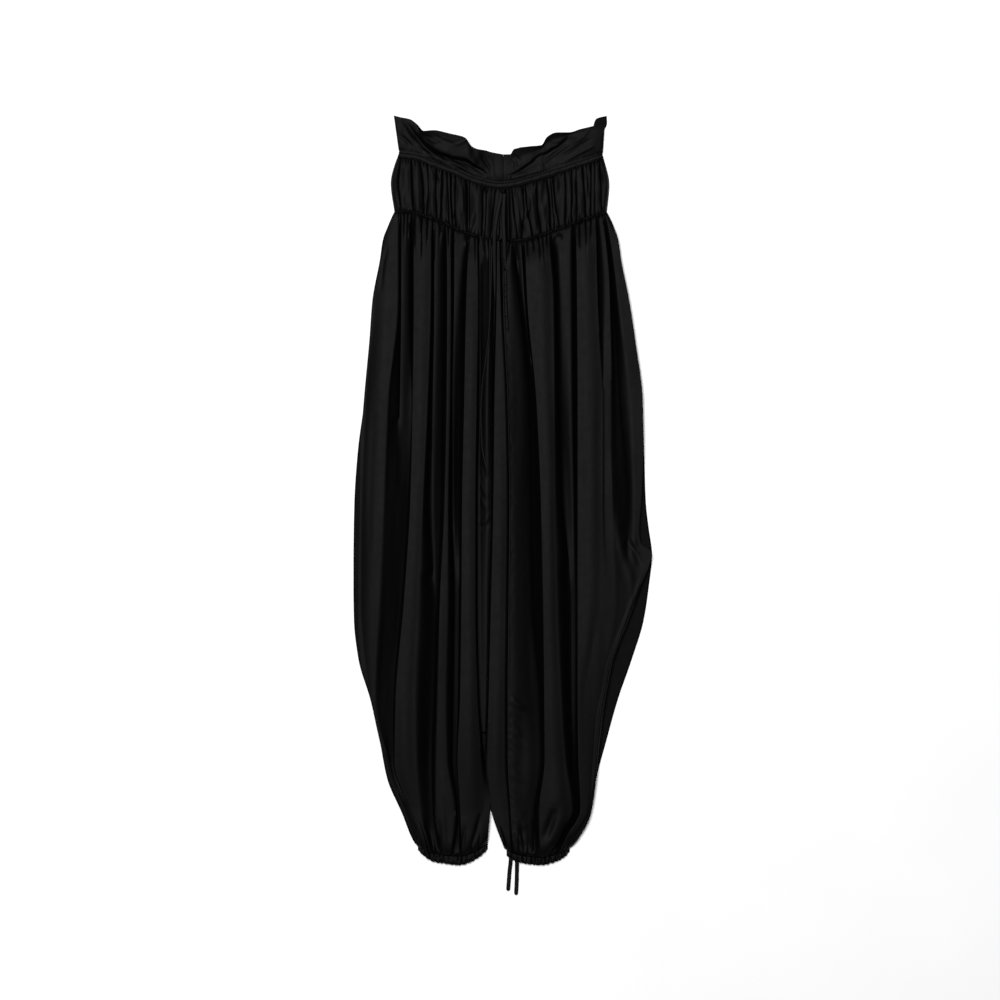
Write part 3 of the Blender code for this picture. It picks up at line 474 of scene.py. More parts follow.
# %% Seam lines
LEFT_INNER_SEAM = Fold("left front edge",
                       (-35.6, -34.2, -34.2, -36.8, -37.1, -34.2, -27.0, -18.8, -22.2),
                       (3, 3, 3, 3, 3, LAID))
GORE_SEAM = Fold("left gore edge",
                 (-15.5, -14.0, -14.6, -15.5, -19.5, -22.7, -26.1, -26.1, -26.1),
                 (6, 5, 5, 3.5, 3, 3))
RIDGE_LEFT = Fold("right gore, left edge",
                  (-9.0, -10.4, -13.9, -14.9, -19.0, -22.2, -25.0, -16.6, 2.5),
                  (6, 4, 3, 3, 2.5, LAID))
RIDGE_RIGHT = Fold("right gore, right edge",
                   (-4.0, -0.8, 5.7, 8.3, 7.1, 5.7, 5.8, 10.0, 13.8),
                   (8, 16, 16.5, 16.5, 16, 13))
RIGHT_INNER_SEAM = Fold("right front edge",
                        (9.7, 0.2, 6.4, 9.0, 7.8, 6.4, 6.5, 10.7, 14.5),
                        (14, 16, 16.5, 16.5, 16, 13))
UNDER_SEAM = Fold("between the under legs",
                  (-11, -12, -14, -20, -25, -29, -27, -18.8, -22.2),
                  (0, 0, 0, 0, 0, 0))

# %% [markdown]
# ## From fold lines to a surface
#
# Each row of points runs across the panel through all its lines. The curve is level at the top
# of a fold and comes to a point at the bottom of a groove, because cloth rolls over the tops and
# pinches between them. At the elastic and the cuff the cloth is held, so there the folds die out
# into a level puff, which dips down to the seam over its last few millimetres. An outer edge that
# lies on the floor stands up steeply, because the cloth is folded round it.

# %% Cross-sections
COLUMN = 1.2           # about this far between two columns of points
SEAM_LEVEL_WAIST = 8.5
SEAM_LEVEL_CUFF = 7.5
PUFF_LEVEL_WAIST = 11.8  # where the cloth of a full panel levels out just beyond the seam
PUFF_LEVEL_CUFF = 10.8
DIP_REACH = 7          # and within this distance it dips down to the seam
SEAM_SWELL = 0.14      # share of a fold's height that is left at a gathered seam
WAIST_RISE = 42        # the folds have their whole height this far from the elastic
CUFF_RISE = 26         # and this far from the cuff
PINCH = 1.7            # how sharp a groove's bottom is: 1 is a straight V
SHALLOW_SIDE = 0.25    # a groove with a side less steep than this is rounder
CROWN = 0.07           # a flat top wider than CROWN_FROM is raised by this share of the rest
CROWN_FROM = 10
CROWN_FLATTEST = 0.06  # a top steeper than this has less of a crown
CROWN_LOWEST = 11      # and so has one that lies low: none up to here, all of it 6 mm higher
WALL_TOP = 0.35        # an outer edge stands up within this distance
WALL_SHOULDER = 0.04   # and its top is this share lower at the edge
LOW_EDGE = 0.9         # an edge that is no higher than this above LAID stands up
BEYOND_SIDE = 200      # an x beyond the ends of the elastic and the cuffs


def fold_x(fold, station):
    return smooth_through(STATIONS[::-1], fold.x[::-1], station)


def fold_z(fold, station, at_waist=SEAM_LEVEL_WAIST, at_cuff=SEAM_LEVEL_CUFF):
    z = smooth_through(HEIGHT_STATIONS[::-1], fold.z[::-1], station)
    to_waist, to_cuff = ease((WAIST - station) / WAIST_RISE), bulge((station - CUFF) / CUFF_RISE)
    level = np.where(station > (WAIST + CUFF) / 2, at_waist, at_cuff)
    held = SEAM_SWELL + (1 - SEAM_SWELL) * np.minimum(to_waist, to_cuff)
    dip = ((at_waist - SEAM_LEVEL_WAIST) * (1 - bulge((WAIST - station) / DIP_REACH))
           + (at_cuff - SEAM_LEVEL_CUFF) * (1 - bulge((station - CUFF) / DIP_REACH)))
    return level + (z - level) * held - dip


def side_by_side(x):
    """Fold lines that run together keep a least distance, from both edges inward."""
    least = min(LEAST_FOLD, (x[-1] - x[0]) / len(x))
    for i in range(len(x) - 2, 0, -1):
        x[i] = min(x[i], x[i + 1] - least)
    for i in range(1, len(x) - 1):
        x[i] = max(x[i], x[i - 1] + least)
    return x


def cross_section(lines, heights, x):
    """Through all the lines: level on the tops, and pointed in the grooves."""
    steps = np.diff(lines)
    slopes = np.diff(heights) / steps
    leaving, arriving = slopes.copy(), slopes.copy()
    for i in range(1, len(lines) - 1):
        before, after = slopes[i - 1], slopes[i]
        if before * after > 0:
            leaving[i] = arriving[i - 1] = shared_slope(before, after, steps[i - 1], steps[i])
        elif before < 0 < after:
            sharp = PINCH * ease(min(-before, after) / SHALLOW_SIDE)
            arriving[i - 1], leaving[i] = sharp * before, sharp * after
        else:
            arriving[i - 1] = leaving[i] = 0.0
    i = np.clip(np.searchsorted(lines, x, side="right") - 1, 0, len(steps) - 1)
    t = (x - lines[i]) / steps[i]
    level = (np.clip(1.0 - 5 * (np.abs(slopes) - CROWN_FLATTEST), 0, 1)
             * ease((heights[1:] - CROWN_LOWEST) / 6))
    crown = CROWN * np.maximum(steps - CROWN_FROM, 0) * level
    return (heights[i] + (heights[i + 1] - heights[i]) * (3 - 2 * t) * t**2
            + steps[i] * t * (1 - t) * (leaving[i] * (1 - t) - arriving[i] * t)
            + crown[i] * 16 * (t * (1 - t)) ** 2)


def panel_points(left, right, folds, rows, cuff, at_waist=PUFF_LEVEL_WAIST):
    """left and right give an edge's x and z for each row."""
    (left_x, left_z), (right_x, right_z) = left(rows), right(rows)
    fold_lines = np.array([fold_x(fold, rows) for fold in folds])
    fold_heights = np.array([fold_z(fold, rows, at_waist, PUFF_LEVEL_CUFF) for fold in folds])
    ordered = np.array([side_by_side([left_x[i], *fold_lines[:, i], right_x[i]])
                        for i in range(len(rows))])
    steps = [max(2, round(gap / COLUMN)) for gap in np.diff(ordered, axis=1).mean(axis=0)]
    grid = []
    for i, station in enumerate(rows):
        lines = ordered[i]
        heights = np.maximum([left_z[i], *fold_heights[:, i], right_z[i]], LAID)
        x = np.concatenate([np.linspace(a, b, count, endpoint=False)
                            for a, b, count in zip(lines[:-1], lines[1:], steps)]
                           + [lines[-1:]])
        z = cross_section(lines, heights, x)
        for edge, next_line, inward in ((0, 1, 1), (-1, -2, -1)):
            stands = float(np.clip((LAID + LOW_EDGE - heights[edge]) / LOW_EDGE, 0, 1))
            rise = heights[next_line] - LAID
            for step in range(1, steps[edge]):
                share = step / steps[edge]
                top = LAID + (1 - WALL_SHOULDER + WALL_SHOULDER * share) * rise
                z[edge + inward * step] += stands * (top - z[edge + inward * step])
            foot = x[edge] + WALL_TOP * inward
            x[edge + inward] += stands * (foot - x[edge + inward])
        grid.append(np.stack((x, bent_row(station, x, cuff), z), axis=1))
    return np.array(grid)


def seam_edge(fold, lies_flat=False):
    """A seam's place and height. One that lies flat isn't lifted by the gathers at the cuff."""
    def edge(rows):
        z = fold_z(fold, rows)
        if lies_flat:
            lying = smooth_through(HEIGHT_STATIONS[::-1], fold.z[::-1], rows)
            z = np.where(rows < KNEE, lying, z)
        return fold_x(fold, rows), z
    return edge


def side_edge(column, cuff):
    def edge(rows):
        outermost = -BEYOND_SIDE if "left" in column else BEYOND_SIDE
        return side(column, bent_row(rows, outermost, cuff)), np.full(len(rows), LAID)
    return edge


def legs_apart(rows):
    return GAP + (LEGS_APART - GAP) * ease((SPLIT - rows) / PARTING)


def ridge_left_edge(rows):
    x, z = seam_edge(RIDGE_LEFT, lies_flat=True)(rows)
    return np.maximum(x, fold_x(LEFT_INNER_SEAM, rows) + legs_apart(rows)), z


def gore_left_edge(rows):
    x, z = seam_edge(LEFT_INNER_SEAM, lies_flat=True)(rows)
    return x + GAP, z


# %% [markdown]
# ## Gathers, creases and slight unevenness
#
# The big folds alone look like a machine made them. Three things bring the surface to life:
#
# - gathers, short uneven grooves that start at a seam and die out a few centimetres on;
# - creases, single soft ridges or troughs laid where the cloth is pulled;
# - a slow unevenness, because no fold of real cloth is the same height all along.

# %% Gathers, creases and unevenness
Crease = namedtuple("Crease", "height width points")
TABLE = 96             # the table of random numbers behind the unevenness repeats after this
TABLE_START = (40.3, 40.7)
GATHERS_FROM = -250    # grooves are placed from here
GATHERS_SPAN = 540     # over this width, which is more than the garment's
UNEVEN_SPACING = (0.55, 1.45)      # the least and the most, as a share of what is asked for
UNEVEN_STRENGTH = (0.35, 1.0)
UNEVEN_LENGTH = (0.5, 1.6)
GROOVE_SIDES = (1.2, 4.0)          # the least and the most width of a groove's side


def unevenness(x, y, size_x, size_y, seed):
    """Smooth numbers from -1 to 1 that change over the given sizes, in millimetres."""
    table = np.random.default_rng(seed).uniform(-1, 1, (TABLE, TABLE))
    u, v = x / size_x + TABLE_START[0], y / size_y + TABLE_START[1]
    i, j = np.floor(u).astype(int), np.floor(v).astype(int)
    s, t = ease(u - i), ease(v - j)
    i, j = i % TABLE, j % TABLE
    i1, j1 = (i + 1) % TABLE, (j + 1) % TABLE
    near = table[i, j] * (1 - s) + table[i1, j] * s
    far = table[i, j1] * (1 - s) + table[i1, j1] * s
    return near * (1 - t) + far * t


def gathers(x, away, spacing, depth, reach, seed, breadth=0.36):
    """Uneven wedges across x that narrow to a point with the distance away from their seam."""
    chance = np.random.default_rng(seed)
    count = int(GATHERS_SPAN / spacing)
    spots = GATHERS_FROM + np.cumsum(chance.uniform(*UNEVEN_SPACING, count) * spacing)
    strength = chance.uniform(*UNEVEN_STRENGTH, count)
    length = chance.uniform(*UNEVEN_LENGTH, count) * reach
    if np.ndim(x) == 2:    # a groove lies on a column, so its bottom stays sharp, and no two meet
        column = np.searchsorted(x[0], spots).clip(0, x.shape[1] - 1)
        spots = x[0][column] + 1e-4 * np.arange(len(spots))
    nearest = np.clip(np.searchsorted(spots, x), 1, len(spots) - 1)
    cut_down = np.zeros_like(x, float)
    for step in (-1, 0):
        i = np.clip(nearest + step, 1, len(spots) - 2)
        room = np.where(x < spots[i], spots[i] - spots[i - 1], spots[i + 1] - spots[i])
        open_yet = np.clip(1 - np.maximum(away, 0) / length[i], 0, 1) ** 1.3
        side_of = np.abs(x - spots[i]) / np.clip(room * breadth, *GROOVE_SIDES)
        cut_down += strength[i] * np.clip(open_yet - side_of, 0, 1)
    return -depth * cut_down


def crease_height(x, y, crease):
    """A soft ridge, or a trough if its height is negative, along a line of points."""
    points = np.array(crease.points, float)
    reach = 3 * crease.width
    low, high = points.min(axis=0) - reach, points.max(axis=0) + reach
    near = (x > low[0]) & (x < high[0]) & (y > low[1]) & (y < high[1])
    raised = np.zeros_like(x)
    if not near.any():
        return raised
    here = np.stack((x[near], y[near]), axis=1)
    lengths = np.linalg.norm(np.diff(points, axis=0), axis=1)
    total, done = lengths.sum(), 0.0
    best, share = np.full(len(here), np.inf), np.zeros(len(here))
    for start, end, length in zip(points[:-1], points[1:], lengths):
        t = np.clip(((here - start) @ (end - start)) / length**2, 0, 1)
        distance = np.linalg.norm(here - start - t[:, None] * (end - start), axis=1)
        closer = distance < best
        best = np.where(closer, distance, best)
        share = np.where(closer, (done + t * length) / total, share)
        done += length
    fade = np.sin(np.pi * np.clip(share, 0.02, 0.98)) ** 0.6
    raised[near] = crease.height * np.exp(-(best / crease.width) ** 2) * fade
    return raised


def creased(points, creases):
    for crease in creases:
        points[..., 2] += crease_height(points[..., 0], points[..., 1], crease)
    return points


# %% [markdown]
# ## A sheet of cloth
#
# A grid is bent through the points, and a Solidify modifier gives it a wall. The wall grows up
# from the underside, so the sheet rests where the solid panel rested. Its flat size comes from
# the same points: cloth doesn't stretch, so the length of a row of points is the width that was
# cut.

# %% Making a sheet
SHARPEST_ROLL = np.radians(50)     # two facets that meet at more than this make a sharp line
grids = {}


def sheet_of_cloth(name, points, node=None, held="laid", wall=CLOTH, turned=0.0):
    """A sheet through a grid of points. One that stands for a solid panel names its node, how it
    is held and how many millimetres of it are turned under. How it is held is not used."""
    rows, columns = points.shape[:2]
    shape = bmesh.new()
    bmesh.ops.create_grid(shape, x_segments=columns - 1, y_segments=rows - 1, size=0.5)
    for vertex in shape.verts:
        column = round((vertex.co.x + 0.5) * (columns - 1))
        row = round((0.5 - vertex.co.y) * (rows - 1))
        vertex.co = points[row, column] * MM
    mesh = mesh_from(shape, name)
    mesh.set_sharp_from_angle(angle=SHARPEST_ROLL)
    piece = garment_piece(name, mesh)
    solidify = piece.modifiers.new("Wall", "SOLIDIFY")
    solidify.thickness = wall * MM
    solidify.offset = 1.0
    if node:
        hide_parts(node)
        grids[name] = (piece, points, held, turned)
    return piece


def cut_size(points):
    """Width, length and area of the flat cloth, in metres."""
    points = points * MM
    across, down = np.diff(points, axis=1), np.diff(points, axis=0)
    width = np.linalg.norm(across, axis=2).sum(axis=1).max()
    length = np.linalg.norm(down, axis=2).sum(axis=0).max()
    area = np.linalg.norm(np.cross(across[:-1], down[:, :-1]), axis=2).sum()
    return float(width), float(length), float(area)


# %% [markdown]
# ## The legs
#
# Each leg's front is one wide panel. Between the two lie two narrow gores. The right gore stands
# up as a rounded ridge that covers the cord. The left gore lies lower, inside the centre-front
# slit, and is turned under at the calf.

# %% Creases of the legs
LEFT_CREASES = [Crease(*row) for row in (
    (-1.5, 2.4, ((-166, 350), (-172, 325), (-176, 285))),
    (-0.8, 5, ((-186, 120), (-190, 20), (-192, -90))),
    (-1.6, 3.0, ((-84, -440), (-80, -470), (-78, -510))),
    (-2.2, 2.6, ((-112, -478), (-106, -496), (-100, -518))),
    (-2.6, 3.0, ((-32, -466), (-38, -492), (-46, -516))),
    (-2.4, 2.8, ((-93, -474), (-92, -496), (-90, -520))),
    (-1.8, 2.6, ((-54, -484), (-56, -500), (-58, -522))),
)]
RIGHT_CREASES = [Crease(*row) for row in (
    (3.0, 6, ((157, 50), (160, -6), (166, -66), (175, -100), (184, -128), (192, -140))),
    (-2.6, 4.0, ((181, -76), (190, -86), (197, -104), (200, -112))),
    (1.6, 2.4, ((186, -70), (192, -84), (197, -94))),
    (2.2, 2.6, ((203, -118), (192, -148), (172, -200), (152, -258), (141, -320),
                (135, -380), (131, -430))),
    (-4.0, 6.0, ((76, -458), (68, -482), (60, -504))),
    (-2.6, 3.0, ((92, -480), (87, -498), (83, -516))),
    (-2.2, 2.8, ((44, -478), (48, -498), (50, -520))),
    (-2.0, 2.6, ((26, -480), (28, -498), (32, -520))),
)]
SLIT_CREASES = [Crease(*row) for row in (
    (1.8, 2.2, ((-38, -44), (-31, -47), (-25, -44), (-19, -38))),
    (-1.6, 2.0, ((-34, -52), (-27, -55), (-20, -50))),
    (1.0, 2.5, ((-34, 14), (-28, 0), (-20, -14))),
    (1.0, 2.5, ((-33, -8), (-27, -22), (-19, -30))),
    (-0.9, 2.5, ((-30, 40), (-25, 20), (-18, 4))),
)]
print("creases laid by hand:", len(LEFT_CREASES) + len(RIGHT_CREASES) + len(SLIT_CREASES))


def seam_puckers(seam, top, end, spread, strength, seed):
    """Small slanting creases that start at a sewn line, because its thread is a little tight."""
    chance = np.random.default_rng(seed)
    found, y = [], top
    while y > end:
        reach = chance.uniform(0.35, 1.0) * spread
        start = float(np.interp(y, seam[1], seam[0]))
        slant = chance.uniform(0.3, 1.1)
        found.append(Crease(-chance.uniform(0.4, 1.0) * strength, chance.uniform(1.3, 2.0),
                            ((start + 0.3, y), (start + reach, y - slant * reach))))
        y -= chance.uniform(3.5, 8.0)
    return found


def taut_seam_wrinkles(seam, top, end, seed):
    """Broader soft creases that fan out from a seam near the ankle."""
    chance = np.random.default_rng(seed)
    found, y = [], top
    while y > end:
        start = float(np.interp(y, seam[1], seam[0]))
        reach = chance.uniform(14, 30)
        drop = chance.uniform(0.5, 1.2) * reach
        found.append(Crease(chance.uniform(0.6, 1.3), chance.uniform(2.4, 4.0),
                            ((start + 1, y), (start + reach * 0.5, y - drop * 0.6),
                             (start + reach, y - drop))))
        y -= chance.uniform(9, 17)
    return found


# %% Details of the legs
# Each row: spacing, depth, reach, what is added to the seed, and breadth.
WAIST_GATHERS = ((8.2, 3.6, 64, 0, 0.25), (5.4, 2.0, 13, 5, 0.26))
CUFF_GATHERS = ((12.0, 3.0, 34, 1, 0.28), (5.2, 1.9, 11, 6, 0.36))
CALM = 60              # the unevenness comes in over this distance from the elastic and the cuff


def leg_details(points, cuff, seed):
    """Gathers at both ends of a panel and a slow unevenness in between."""
    x, y = points[..., 0], points[..., 1]
    from_waist = along(ELASTIC, x) - y
    from_cuff = y - along(cuff, x)
    middle = ease(from_waist / CALM) * ease(from_cuff / CALM)
    at_waist = np.broadcast_to(points[:1, :, 0], x.shape)   # gathers run along the columns
    at_cuff = np.broadcast_to(points[-1:, :, 0], x.shape)
    narrow = averaged(np.gradient(at_waist[0]) / np.gradient(x[len(x) // 6]), 25)
    fading = from_waist / np.clip(narrow, 0.3, 1)           # sooner where the columns fan out
    for column_x, away, kinds in ((at_waist, fading, WAIST_GATHERS),
                                  (at_cuff, from_cuff, CUFF_GATHERS)):
        for spacing, depth, reach, more, breadth in kinds:
            points[..., 2] += gathers(column_x, away, spacing, depth, reach, seed + more, breadth)
    points[..., 2] += middle * (0.3 * unevenness(x, y, 10, 140, seed + 2)
                                + 0.6 * unevenness(x, y, 30, 80, seed + 3))
    points[..., 2] = np.maximum(points[..., 2], LAID) + SETTLE
    return points


# %% Panels of the legs
left_front = panel_points(side_edge("left", CUFF_TOP_LEFT),
                          seam_edge(LEFT_INNER_SEAM, lies_flat=True), LEFT_FOLDS, LEG_ROWS,
                          CUFF_TOP_LEFT)
right_front = panel_points(seam_edge(RIGHT_INNER_SEAM), side_edge("right", CUFF_TOP_RIGHT),
                           RIGHT_FOLDS, LEG_ROWS, CUFF_TOP_RIGHT)
gore_rows = LEG_ROWS[LEG_ROWS > LEFT_GORE_END]
left_gore = panel_points(gore_left_edge, seam_edge(GORE_SEAM), LEFT_GORE_FOLDS, gore_rows,
                         CUFF_TOP_LEFT, SEAM_LEVEL_WAIST)
ridge = panel_points(ridge_left_edge, seam_edge(RIDGE_RIGHT), RIDGE_FOLDS, LEG_ROWS,
                     CUFF_TOP_RIGHT, SEAM_LEVEL_WAIST)

seam_line = (fold_x(RIGHT_INNER_SEAM, LEG_ROWS)[::-1], LEG_ROWS[::-1])
right_puckers = (*seam_puckers(seam_line, 300, -505, 9, 0.7, seed=5),
                 *taut_seam_wrinkles(seam_line, -290, -500, seed=7))
left_front = creased(leg_details(left_front, CUFF_TOP_LEFT, 11), LEFT_CREASES)
right_front = creased(leg_details(right_front, CUFF_TOP_RIGHT, 21),
                      (*RIGHT_CREASES, *right_puckers))
left_gore = creased(leg_details(left_gore, CUFF_TOP_LEFT, 31), SLIT_CREASES)
ridge = leg_details(ridge, CUFF_TOP_RIGHT, 41)

sheet_of_cloth("leg_cloth_left", left_front, "leg_front_left", "gathered")
sheet_of_cloth("leg_cloth_right", right_front, "leg_front_right", "gathered")
sheet_of_cloth("gore_cloth_left", left_gore, "gore_front_left", "laid")
sheet_of_cloth("gore_cloth_right", ridge, "gore_front_right", "gathered")
for name, (piece, points, *_) in grids.items():
    print(name, points.shape[:2], "cut", [round(size, 3) for size in cut_size(points)])

# %% [markdown]
# ## The yoke
#
# The yoke is a gathered band between two seams. Both seams pinch it, and the cloth between them
# puffs up into leaf-shaped pleats with narrow cracks in between. Each row of the table is one
# crack: where it is at the casing, halfway down and at the elastic, how far its sides reach and
# how deep it is. Gathers from both seams add the small creases between them.

# %% Pleats of the yoke
Pleat = namedtuple("Pleat", "casing middle elastic reach depth")
YOKE_ROWS = 58
YOKE_COLUMN = 0.8      # about this far between two columns of points
CROWDED = 1.35         # and closer together beside a groove, by this power
UNDER_CASING = 4.15    # this much of the yoke lies flat below the casing
YOKE_PUFF = 9.6
CRACK = 0.40           # of a crack's reach is open, and the cloth rounds off towards it
CRACK_DEPTH = 0.95     # how far an open crack goes down
SHOULDER = 0.20        # how far the cloth has rounded off by then
SHOULDER_REACH = 2.2   # the rounding starts this many of the crack's reach away
HALF_SHUT = 0.35       # a crack is only this open at the two seams
SIDE_ROLL = 5          # the cloth rolls down to an edge of the yoke over this distance
CORD_BED = 7.6         # the cloth under the cords lies lower
CORD_BED_MIDDLE, CORD_BED_HALF = -4, 11
SLIT_FLOOR = 3.4
CASING_LEVEL = 3.0
CASING_ENDS = 12.0     # near its two ends the casing comes down over this distance
YOKE_LEFT_EDGE = Pleat(-151, -161, -155.9, 0, 0)
YOKE_SLIT_LEFT = Pleat(3.8, 4.8, 5.6, 0, 0)
YOKE_SLIT_RIGHT = Pleat(4.1, 5.1, 5.9, 0, 0)
YOKE_RIGHT_EDGE = Pleat(144.4, 153, 149.4, 0, 0)
YOKE_LEFT_PLEATS = [Pleat(*row) for row in (
    (-147, -150, -146.5, 3.2, 0.8), (-132, -130.5, -129, 3.5, 1),
    (-119, -115, -113.5, 3.2, 0.9), (-109, -107.5, -110, 2.9, 0.7),
    (-94.5, -96, -94.5, 2.9, 0.9), (-86, -88, -89.5, 4.3, 1),
    (-80.5, -79, -76.5, 2.9, 0.7), (-74.5, -75, -71.5, 3.7, 1),
    (-68, -69, -68, 3.2, 0.9), (-52.5, -51.5, -51.5, 4.9, 1),
    (-48, -48, -48.5, 2.9, 0.7), (-29, -28.5, -30.5, 3.2, 1),
    (-24, -24.5, -26.5, 2.9, 0.6), (-10, -14, -18, 3.0, 0.6),
    (-1.2, -3.4, -5.5, 2.4, 0.5),
)]
YOKE_RIGHT_PLEATS = [Pleat(*row) for row in (
    (9, 9.5, 10, 2.6, 0.9), (12.5, 16, 22, 2.9, 0.7), (28.5, 30.5, 26, 3.2, 0.8),
    (32, 35.5, 43.5, 3.5, 1), (47.5, 50, 55.5, 3.5, 1), (62, 67.5, 69, 3.5, 1),
    (67.5, 71.5, 74.5, 2.6, 0.6), (71.5, 75, 82, 3.2, 0.9), (88, 91, 89.5, 3.2, 1),
    (99, 100, 99, 2.9, 0.8), (105.5, 106, 106.5, 2.9, 0.9),
    (114, 117.5, 119.5, 3.5, 1), (127.5, 126.5, 126.5, 3.2, 0.9),
    (132.5, 132, 131.5, 2.3, 0.6), (139.5, 141, 142, 2.9, 0.8),
)]


def casing_level(x):
    """Underside of the cloth that passes below the casing."""
    from_side = np.minimum(x - CASING[0].x, CASING[-1].x - x)
    return LAID + (CASING_LEVEL - LAID) * ease(from_side / CASING_ENDS)


# %% Points of the yoke
def cut(x, line, reach):
    """How deep a groove is at x, from 1 on its line to 0 at its reach."""
    return np.clip(1 - np.abs(x - line) / reach, 0, 1) ** 1.4


def columns_between(lines, steps, is_groove):
    """Places across a panel: on each line, and closer together beside a groove."""
    x = []
    for i, count in enumerate(steps):
        t = np.linspace(0, 1, count, endpoint=False)
        if is_groove[i]:
            t = t**CROWDED
        elif is_groove[i + 1]:
            t = 1 - (1 - t) ** CROWDED
        x += list(lines[i] + (lines[i + 1] - lines[i]) * t)
    return np.array(x + [lines[-1]])


def off_seam(distance, lip, over_lip, puff, over_puff):
    """From 0 at a seam to 1: the lip rises at once, and the puff more slowly."""
    return lip * ease(distance / over_lip) + puff * bulge(distance / over_puff)


def yoke_points(first, pleats, last, seed):
    shares = np.linspace(0, 1, YOKE_ROWS)
    lines = np.array([side_by_side([float(smooth_through((0, 0.5, 1), line[:3], share))
                                    for line in (first, *pleats, last)]) for share in shares])
    is_groove = [False] + [True] * len(pleats) + [False]
    steps = [max(4, round(gap / YOKE_COLUMN)) for gap in np.diff(lines, axis=1).mean(axis=0)]
    tops = columns_between(list(lines[0]), steps, is_groove)
    ends = columns_between(list(lines[-1]), steps, is_groove)
    grid = []
    for share, row in zip(shares, lines):
        x = columns_between(list(row), steps, is_groove)
        top, end = along(CASING, x) - GAP / 2, along(ELASTIC, x) + GAP
        y = top + (end - top) * share
        puff = (YOKE_PUFF + 1.5 * unevenness(x, y, 11, 36, seed)
                + 0.7 * unevenness(x, y, 6, 18, seed + 1))
        beside_cords = np.abs(x - CORD_BED_MIDDLE) - CORD_BED_HALF
        puff = CORD_BED + (puff - CORD_BED) * ease(beside_cords / 8)
        from_top, from_end = top - y - UNDER_CASING, y - end
        if share < 0.5:
            low, rise = casing_level(x), off_seam(from_top, 0.66, 1.3, 0.34, 18)
        else:
            low, rise = SEAM_LEVEL_WAIST, off_seam(from_end, 0.45, 1.6, 0.55, 20)
        hull = low + (puff - low) * rise
        whole = np.ones(len(x))
        open_share = HALF_SHUT + (1 - HALF_SHUT) * float(ease(min(share, 1 - share) / 0.3))
        for pleat, place in zip(pleats, row[1:-1]):
            crack = cut(x, place, CRACK * pleat.reach)
            whole *= 1 - CRACK_DEPTH * pleat.depth * open_share * crack
            whole *= 1 - SHOULDER * pleat.depth * cut(x, place, SHOULDER_REACH * pleat.reach)
        slack = ease(from_top / 2)
        z = LAID + (hull - LAID) * (1 - (1 - whole) * slack)
        near_top = gathers(tops[None], from_top[None], 5.0, 2.0, 13, seed + 2)[0]
        near_end = gathers(ends[None], from_end[None], 4.8, 2.1, 11, seed + 3)[0]
        z += slack * (near_top + near_end)
        for from_edge, edge in ((x - x[0], first), (x[-1] - x, last)):
            low_edge = SLIT_FLOOR if edge in (YOKE_SLIT_LEFT, YOKE_SLIT_RIGHT) else LAID
            rolled = np.clip(from_edge / SIDE_ROLL, 0, 1) ** 0.6
            z = low_edge + (np.maximum(z, low_edge) - low_edge) * rolled
        grid.append(np.stack((x, y, np.maximum(z, LAID) + SETTLE), axis=1))
    return np.array(grid)


YOKE_DRAGS = [Crease(*row) for row in (
    (-1.6, 1.8, ((-97, 456), (-95, 449), (-92, 441))),
    (-1.6, 1.9, ((-72, 396), (-70, 386), (-67, 377))),
    (1.2, 2.0, ((-60, 440), (-58, 420), (-57, 400))),
    (-1.4, 1.8, ((16, 432), (24, 412), (27, 388), (29, 372))),
    (-1.4, 1.8, ((40, 425), (38, 405), (33, 384))),
    (-1.4, 1.8, ((-40, 400), (-42, 388), (-46, 376))),
    (-1.4, 1.6, ((122, 462), (124, 440), (123, 415))),
)]
for side_name, first, pleats, last, seed in (
        ("left", YOKE_LEFT_EDGE, YOKE_LEFT_PLEATS, YOKE_SLIT_LEFT, 51),
        ("right", YOKE_SLIT_RIGHT, YOKE_RIGHT_PLEATS, YOKE_RIGHT_EDGE, 61)):
    sheet_of_cloth(f"yoke_cloth_{side_name}",
                   creased(yoke_points(first, pleats, last, seed), YOKE_DRAGS),
                   f"yoke_front_{side_name}", "gathered")
print("pleats in the yoke:", len(YOKE_LEFT_PLEATS) + len(YOKE_RIGHT_PLEATS))

# %% [markdown]
# ## The casing
#
# A strip of cloth is stitched down along both edges, and the cord fills it to a small arch. The
# strip was cut a little long, so it puckers between the stitches.

# %% Casing points
CASING_WIDTH = 8.6
CASING_TURNED = 8.0    # what is turned under along its two edges
CASING_ARCH = line_through(
    (-4.1, 0.1), (-3.6, 0.0), (-3.0, 1.5), (-2.3, 2.1), (0.0, 2.5), (2.3, 2.1), (3.0, 1.5),
    (3.6, 0.0), (4.1, 0.1))
YOKE_SOLID = 1.2       # the casing is stitched down on a layer this thick
casing_x = np.linspace(CASING[0].x + 0.8, CASING[-1].x, 340)
casing_middle = along(CASING, casing_x)
casing_slope = np.gradient(casing_middle, casing_x)
casing_unit = np.hypot(1, casing_slope)
foot = casing_level(casing_x) + YOKE_SOLID + GAP
across = np.linspace(CASING_ARCH[0].x, CASING_ARCH[-1].x, 19)
arch = along(CASING_ARCH, across)
casing_rows = []
on_middle = np.zeros_like(casing_x)
for offset, rise in zip(across[::-1], arch[::-1]):
    pucker = (0.28 * unevenness(casing_x, on_middle + offset * 0.6, 3.4, 3, 71)
              + 0.30 * unevenness(casing_x, on_middle + offset * 0.3, 8, 3, 72))
    lift = rise * (0.92 + 0.1 * unevenness(casing_x, on_middle, 16, 3, 73)) + pucker
    casing_rows.append(np.stack((casing_x - casing_slope / casing_unit * offset,
                                 casing_middle + offset / casing_unit,
                                 foot + np.maximum(lift, 0)), axis=1))
sheet_of_cloth("casing_cloth", np.array(casing_rows), "casing_front", "stretched",
               turned=CASING_TURNED)
print("casing", round(float(casing_x[-1] - casing_x[0])), "mm wide")

